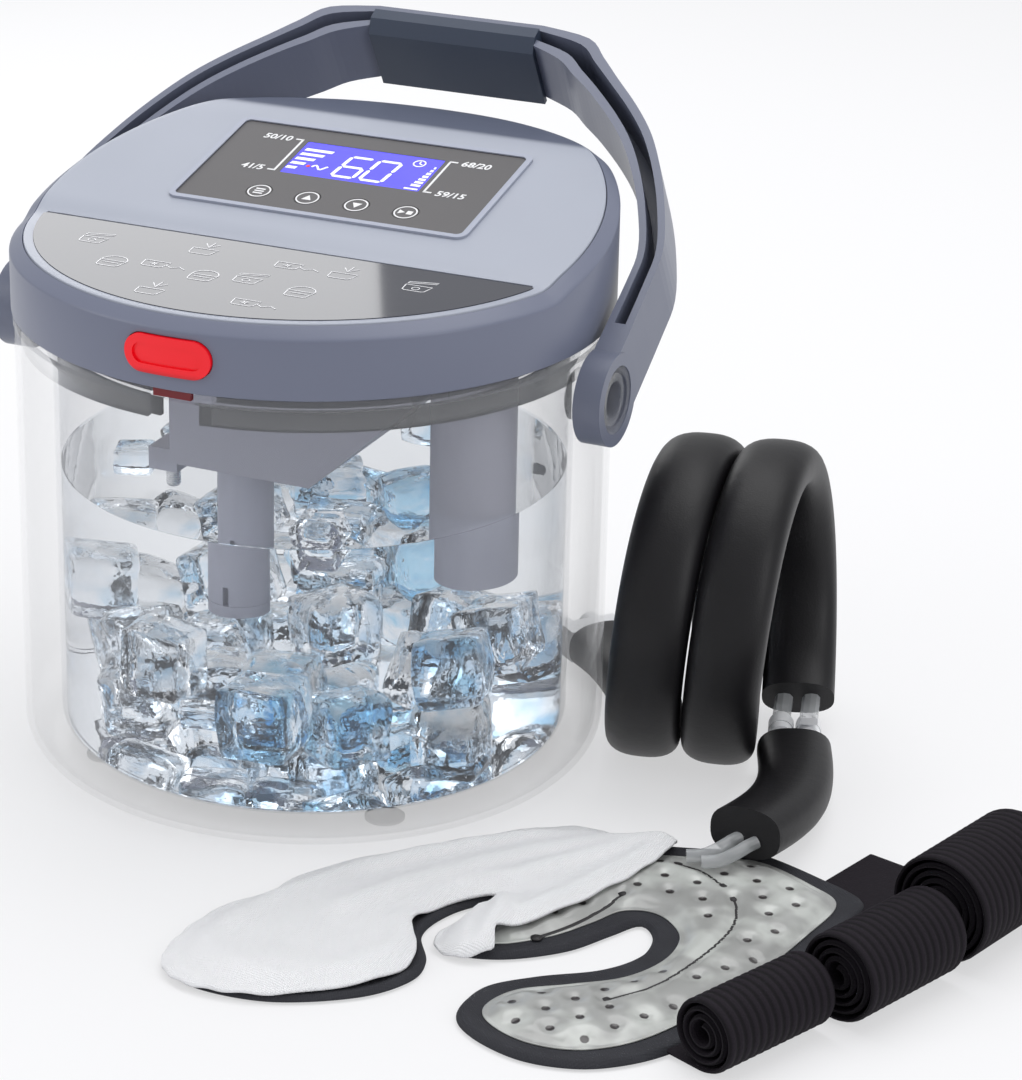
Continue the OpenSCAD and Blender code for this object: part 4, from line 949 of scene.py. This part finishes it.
def flat_form(name, loop, spacing, top, low):
    """A closed form over a loop: triangles on a hexagonal grid, whose top and underside
    heights are functions of the place and of the distance in from the edge."""
    rim = smooth_loop(loop, spacing)
    lo, hi = rim.min(0), rim.max(0)
    gx, gy = np.meshgrid(np.arange(lo[0], hi[0], spacing),
                         np.arange(lo[1], hi[1], spacing * 0.866))
    gx = gx + (np.arange(gx.shape[0]) % 2)[:, None] * spacing / 2
    grid = np.stack([gx.ravel(), gy.ravel()], axis=-1)
    grid = grid[inside(grid, rim)]
    # rows of points just inside the edge keep its rounding even
    ahead = np.roll(rim, -1, axis=0) - np.roll(rim, 1, axis=0)
    inward = np.stack([-ahead[:, 1], ahead[:, 0]], axis=-1)
    inward /= np.linalg.norm(inward, axis=1)[:, None]
    if not inside(rim[:1] + inward[:1] * 0.05, rim)[0]:
        inward = -inward
    rows = np.concatenate([rim + inward * far for far in (0.6, 1.3, 2.2)])
    reach = np.repeat((0.6, 1.3, 2.2), len(rim))
    rows = rows[inside(rows, rim) & (distance_to(rows, rim) > reach * 0.93)]
    grid = grid[distance_to(grid, rim) > 2.2 + spacing * 0.5]
    points = np.vstack([rim, rows, grid])
    ids = list(range(len(rim)))
    edges = list(zip(ids, ids[1:] + ids[:1]))
    made = delaunay_2d_cdt([Vector(p) for p in points.tolist()], edges, [ids], 1, 1e-5)
    flat = np.array([v[:] for v in made[0]])
    faces = np.array([f for f in made[2] if len(f) == 3])
    edge = distance_to(flat, rim)
    z_top, z_low = top(flat, edge), low(flat, edge)
    n = len(flat)
    verts = np.vstack([np.column_stack([flat, z_top]), np.column_stack([flat, z_low])]) * MM
    sides = np.sort(np.concatenate([faces[:, [0, 1]], faces[:, [1, 2]], faces[:, [2, 0]]]), axis=1)
    pairs, times = np.unique(sides, axis=0, return_counts=True)
    outer = pairs[times == 1]
    wall = np.column_stack([outer[:, 0], outer[:, 1], outer[:, 1] + n, outer[:, 0] + n])
    faces = faces.tolist() + (faces[:, ::-1] + n).tolist() + wall.tolist()
    return face_out(make_mesh(name, verts, faces)), flat


def weld_centre(points):
    """The nearest point of the weld pattern: two grids of rectangles, one moved half a
    pitch both ways."""
    best, where = None, None
    cell = np.array([WELD_PITCH, WELD_ROW])
    for move in (0 * cell, cell / 2):
        c = np.round((points - move) / cell) * cell + move
        far = np.linalg.norm(points - c, axis=1)
        if best is None:
            best, where = far, c
        else:
            where = np.where((far < best)[:, None], c, where)
            best = np.minimum(far, best)
    return best, where


def slit_distance(points):
    return np.min([distance_to(points, catmull(s, 8), closed=False) for s in SLITS], axis=0)


def weld_allowed(points):
    rim = smooth_loop(BLADDER_LOOP, 3)
    return inside(points, rim) & (distance_to(points, rim) > 5.4) & (slit_distance(points) > 4.6)


def bladder_height(points, edge):
    """Welded rim, then a rise to the filled height, pulled down at welds and slits."""
    rise = 3.6 * (1 - np.exp(-np.clip(edge - 2.4, 0, None) / 3.2))
    far, centre = weld_centre(points)
    dent = 1.9 * np.exp(-(far / 3.3) ** 2) * weld_allowed(centre)
    slot = 2.1 * np.exp(-(slit_distance(points) / 2.6) ** 2)
    return 2.75 + np.clip(rise - np.maximum(dent, slot), 0, None)


def under_cover(points):
    """What the cover lies on: bladder, then backing, then the floor, eased over."""
    off_bladder, off_pad = (~inside(points, loop) * distance_to(points, loop) for loop in
                            (smooth_loop(BLADDER_LOOP, 3), smooth_loop(PAD_LOOP, 3)))
    z = 0.35 + 2.2 * (1 - smooth_step(off_pad / 4.5))
    return z + 4.1 * (1 - smooth_step(off_bladder / 10))


FOLDS = [([(176, -46), (170, -70), (160, -100), (150, -126)], 2.6, 4.2),
         ([(172, -46), (150, -76), (132, -102)], 1.7, 4.0),
         ([(168, -46), (136, -74), (104, -118), (88, -150)], 1.8, 5.0),
         ([(160, -44), (120, -72), (84, -116)], 1.2, 3.6),
         ([(150, -44), (122, -58), (100, -80)], 1.1, 3.2),
         ([(130, -60), (92, -100), (66, -140), (58, -178)], 1.0, 5.0),
         ([(138, -116), (144, -134), (146, -152)], 4.2, 5.0),
         ([(132, -124), (134, -142), (139, -154)], 2.6, 3.6),
         ([(112, -150), (118, -172), (104, -196)], 1.1, 4.4),
         ([(56, -196), (70, -206), (92, -208)], 1.2, 4.0),
         ([(120, -190), (100, -196), (70, -200)], 0.7, 5.0)]


def cover_top(points, edge):
    """Cloth over the pad: soft folds as bell-shaped ridges along lines, and a puckered rim."""
    z = under_cover(points) + 1.15
    for run, height, wide in FOLDS:
        z = z + height * np.exp(-(distance_to(points, catmull(run, 8), closed=False) / wide) ** 2)
    x, y = points[:, 0], points[:, 1]
    ripple = np.sin(x * 0.19 + 0.7 * np.sin(y * 0.08)) * np.sin(y * 0.13 + x * 0.05)
    z = z + 0.35 * (1 + ripple) + 0.4 * np.exp(-edge / 4) * (1 + np.sin(x * 0.5 - y * 0.45))
    return z - 0.35 * np.exp(-edge / 0.8)


def add_pad(mats):
    backing, _ = flat_form(
        "pad_back", PAD_LOOP, 2.0,
        lambda p, e: 0.8 + 1.35 * smooth_step(e / 1.5) + 0.8 * np.exp(-((e - 3.0) / 1.8) ** 2),
        lambda p, e: 0.05 + 0.25 * np.exp(-e / 0.8))
    finish(backing, mats["backing"], "tank", "pad_backing")
    loop = smooth_loop(PAD_LOOP, 2.4) * MM

    bladder, flat = flat_form("pad_filled", BLADDER_LOOP, 1.9, bladder_height,
                                 lambda p, e: 2.3 + 0 * e)
    allowed = weld_allowed(weld_centre(flat)[1]).astype(float)
    field = bladder.data.attributes.new("weld_field", "FLOAT", "POINT")
    field.data.foreach_set("value", np.concatenate([allowed, allowed]))
    finish(bladder, mats["bladder"], "tank", "pad_bladder")

    lines = []
    for run in SLITS:
        path = catmull(run, 14)
        z = bladder_height(path, distance_to(path, smooth_loop(BLADDER_LOOP, 2)))
        path = np.column_stack([path, z - 0.1])
        side = np.cross(tangents(path), UP)
        lines.append(sweep("weld_line", path * MM, side, 2.1 * MM, 0.7 * MM, 10, 2))
        lines += [prism("weld_dot", circle(x, y, 2.2, 20), 0.6, z) for x, y, z in path[[0, -1]]]
    finish(join("pad_weld_lines", *lines), mats["weld"], "tank")

    cover, _ = flat_form("pad_cloth", COVER_LOOP, 1.9, cover_top,
                            lambda p, e: cover_top(p, e) - 0.95)
    finish(cover, mats["cover"], "tank", "pad_cover")
    loop = smooth_loop(COVER_LOOP, 2.4) * MM


STRAP_T, STRAP_PITCH, STRAP_W, RIBS = 2.2, 3.0, 54.0, 14


def add_straps(mats):
    for size, at, heading, radius, tail in (("small", (247, -192), 67.5, 15, 34),
                                            ("middle", (276.5, -137), 70, 18, 52),
                                            ("large", (295, -79), 74.5, 22, 64)):
        strap, length = wound_strap("strap_" + size, at, heading, radius, tail)
        finish(strap, mats["strap"], "tank", "strap_roll_" + size)


def wound_strap(name, at, heading, radius, tail):
    """A band wound on itself: its middle line is a spiral whose radius grows by one
    pitch a turn, then a straight tail. Its section is a flat band with rounded ribs."""
    first = radius - STRAP_T - STRAP_PITCH * math.floor(
        (radius - STRAP_T - 2.2) / STRAP_PITCH * 24) / 24
    turns = (radius - STRAP_T - first) / STRAP_PITCH
    a = np.linspace(0, 360 * turns, int(turns * 44) + 1)
    r = first + STRAP_PITCH * a / 360 + STRAP_T / 2
    phi = np.radians(a + 270 - 360 * turns)
    mid = np.column_stack([r * np.cos(phi), r * np.sin(phi)])
    run = np.linspace(1.5, tail, 20)
    mid = np.vstack([mid, np.column_stack([run, np.full(20, -radius + STRAP_T / 2)])])
    d = tangents(mid)
    out = np.column_stack([d[:, 1], -d[:, 0]])
    w = np.linspace(0, 1, RIBS * 6 + 1)
    rib = 0.5 - 0.5 * np.cos(2 * math.pi * RIBS * w)
    half = STRAP_T / 2 - 0.12
    lift = np.concatenate([half - 0.42 + 0.42 * rib, -(half - 0.05) * np.ones(len(w))])
    edge = np.tile(np.minimum(w, 1 - w), 2) * STRAP_W
    lift = lift * (0.45 + 0.55 * smooth_step(edge / 1.2))
    across = np.concatenate([w, w[::-1]]) * STRAP_W
    line2 = mid[:, None] + out[:, None] * lift[None, :, None]
    h = math.radians(heading)
    x = at[0] + across[None] * math.cos(h) - line2[..., 0] * math.sin(h)
    y = at[1] + across[None] * math.sin(h) + line2[..., 0] * math.cos(h)
    z = radius + 0.05 + line2[..., 1]
    verts = np.stack([x, y, np.maximum(z, 0.05)], axis=-1).reshape(-1, 3) * MM
    rows, cols = line2.shape[:2]
    faces = grid_faces(rows, cols, wrap_cols=True)
    faces += [list(range(cols)), list(range((rows - 1) * cols, rows * cols))]
    obj = face_out(make_mesh(name, verts, faces))
    mark_sharp(obj, 60)
    # The rib height is kept on the points so that the strap's material paints the grooves darker:
    # painted shade.
    painted_groove_shade = obj.data.attributes.new("rib", "FLOAT", "POINT")
    painted_groove_shade.data.foreach_set("value", np.tile(np.concatenate([rib, 0.6 + 0 * rib]), rows))
    return obj, path_length(mid) * MM


# ---- main

NODE_LOOKS = {
    "shell": "tank_outer_shell", "liner": "tank_inner_liner", "foot": "foot_pads",
    "clear": "tank_rim_collar pivot_cap_left pivot_cap_right", "silicone": "lid_seal",
    "label": "label_plate", "lid_light": "panel_rim_frame", "lcd": "lcd_window",
    "overlay": "panel_overlay key_mode key_up key_down key_run", "red": "release_button",
    "under": "lid_underplate pump_housing intake_stem intake_strainer return_column",
    "board": "control_board main_board", "dark": "pump_volute power_socket buzzer",
    "steel": "button_spring pump_motor heater_block temperature_probe lid_screws",
    "handle": "handle_frame", "grip": "grip_sleeve",
    "tube": "suction_hose delivery_hose hose_tails",
    "white": "lcd_module impeller supply_port return_port hose_plug coupling_sockets "
             "coupling_plugs thumb_latch",
}


def dress_nodes(mats):
    """Gives the CAD solids that stay in sight, or inside, their finishes."""
    for look, names in NODE_LOOKS.items():
        for name in names.split():
            slots = nodes[name].data.materials
            for i in range(len(slots)):
                slots[i] = mats[look]
            if not slots:
                slots.append(mats[look])


def add_stage():
    """Pale floor: for the camera, glass and gloss it is mostly its own even white, so
    that a soft part of the shadow stays."""
    floor = make_mesh("floor", [(-6, -6, -0.0008), (6, -6, -0.0008), (6, 9, -0.0008),
                                (-6, 9, -0.0008)], [(0, 1, 2, 3)])
    net = Net("floor", Base_Color=rgb(238, 238, 240), Roughness=0.9, Specular_IOR_Level=0.1)
    path = net.node("ShaderNodeLightPath").outputs
    camera, gloss, glass = (Value(net, path["Is " + ray + " Ray"])
                            for ray in ("Camera", "Glossy", "Transmission"))
    white = net.node("ShaderNodeEmission", {"Color": rgb(249, 249, 250)})
    seen = (camera + gloss + glass).math("MINIMUM", 1.0) * 0.6
    both = net.node("ShaderNodeMixShader", {0: seen, 1: net.shader.outputs[0],
                                            2: white.outputs[0]})
    net.feed(net.tree.nodes["Material Output"].inputs["Surface"], both.outputs[0])
    floor.data.materials.append(net.material)


def area_light(name, at, aim, size, watts):
    """A rectangular lamp of so many metres at a place, aimed at a point."""
    data = bpy.data.lights.new(name, "AREA")
    data.shape = "RECTANGLE"
    data.size, data.size_y = size
    data.energy = watts
    lamp = add_object(name, data)
    lamp.location = at
    lamp.rotation_euler = (Vector(aim) - Vector(at)).to_track_quat("-Z", "Y").to_euler()


def add_lights():
    """An even pale world, a little brighter through glass, and four soft lamps."""
    world = bpy.data.worlds.new("studio")
    bpy.context.scene.world = world
    world.use_nodes = True
    tree = world.node_tree
    sky = tree.nodes["Background"]
    sky.inputs["Color"].default_value = (0.97, 0.98, 1, 1)
    path = tree.nodes.new("ShaderNodeLightPath")
    more = tree.nodes.new("ShaderNodeMath")
    more.operation = "MULTIPLY_ADD"
    tree.links.new(path.outputs["Is Transmission Ray"], more.inputs[0])
    more.inputs[1].default_value = 0.36
    more.inputs[2].default_value = 0.62
    tree.links.new(more.outputs[0], sky.inputs["Strength"])
    area_light("overhead", (0.1, 0.5, 1.9), (0, 0, 0.1), (2.2, 1.4), 22)
    area_light("left_front", (-1.5, -1.1, 1.1), (0, 0, 0.12), (0.9, 1.3), 9)
    area_light("right", (1.7, -0.5, 0.9), (0.1, 0, 0.1), (0.5, 1.2), 6)
    area_light("softbox", (-0.745, 0.97, 0.63), (0, -0.06, 0.217), (0.56, 0.5), 1.75)
    bpy.context.scene.view_settings.view_transform = "Standard"


def main():
    add_camera()
    mats = all_materials()
    add_hoses(mats)
    add_lid(mats)
    add_prints(mats)
    add_water(mats)
    add_ice(mats)
    add_pad(mats)
    add_straps(mats)
    dress_nodes(mats)
    add_stage()
    add_lights()


main()
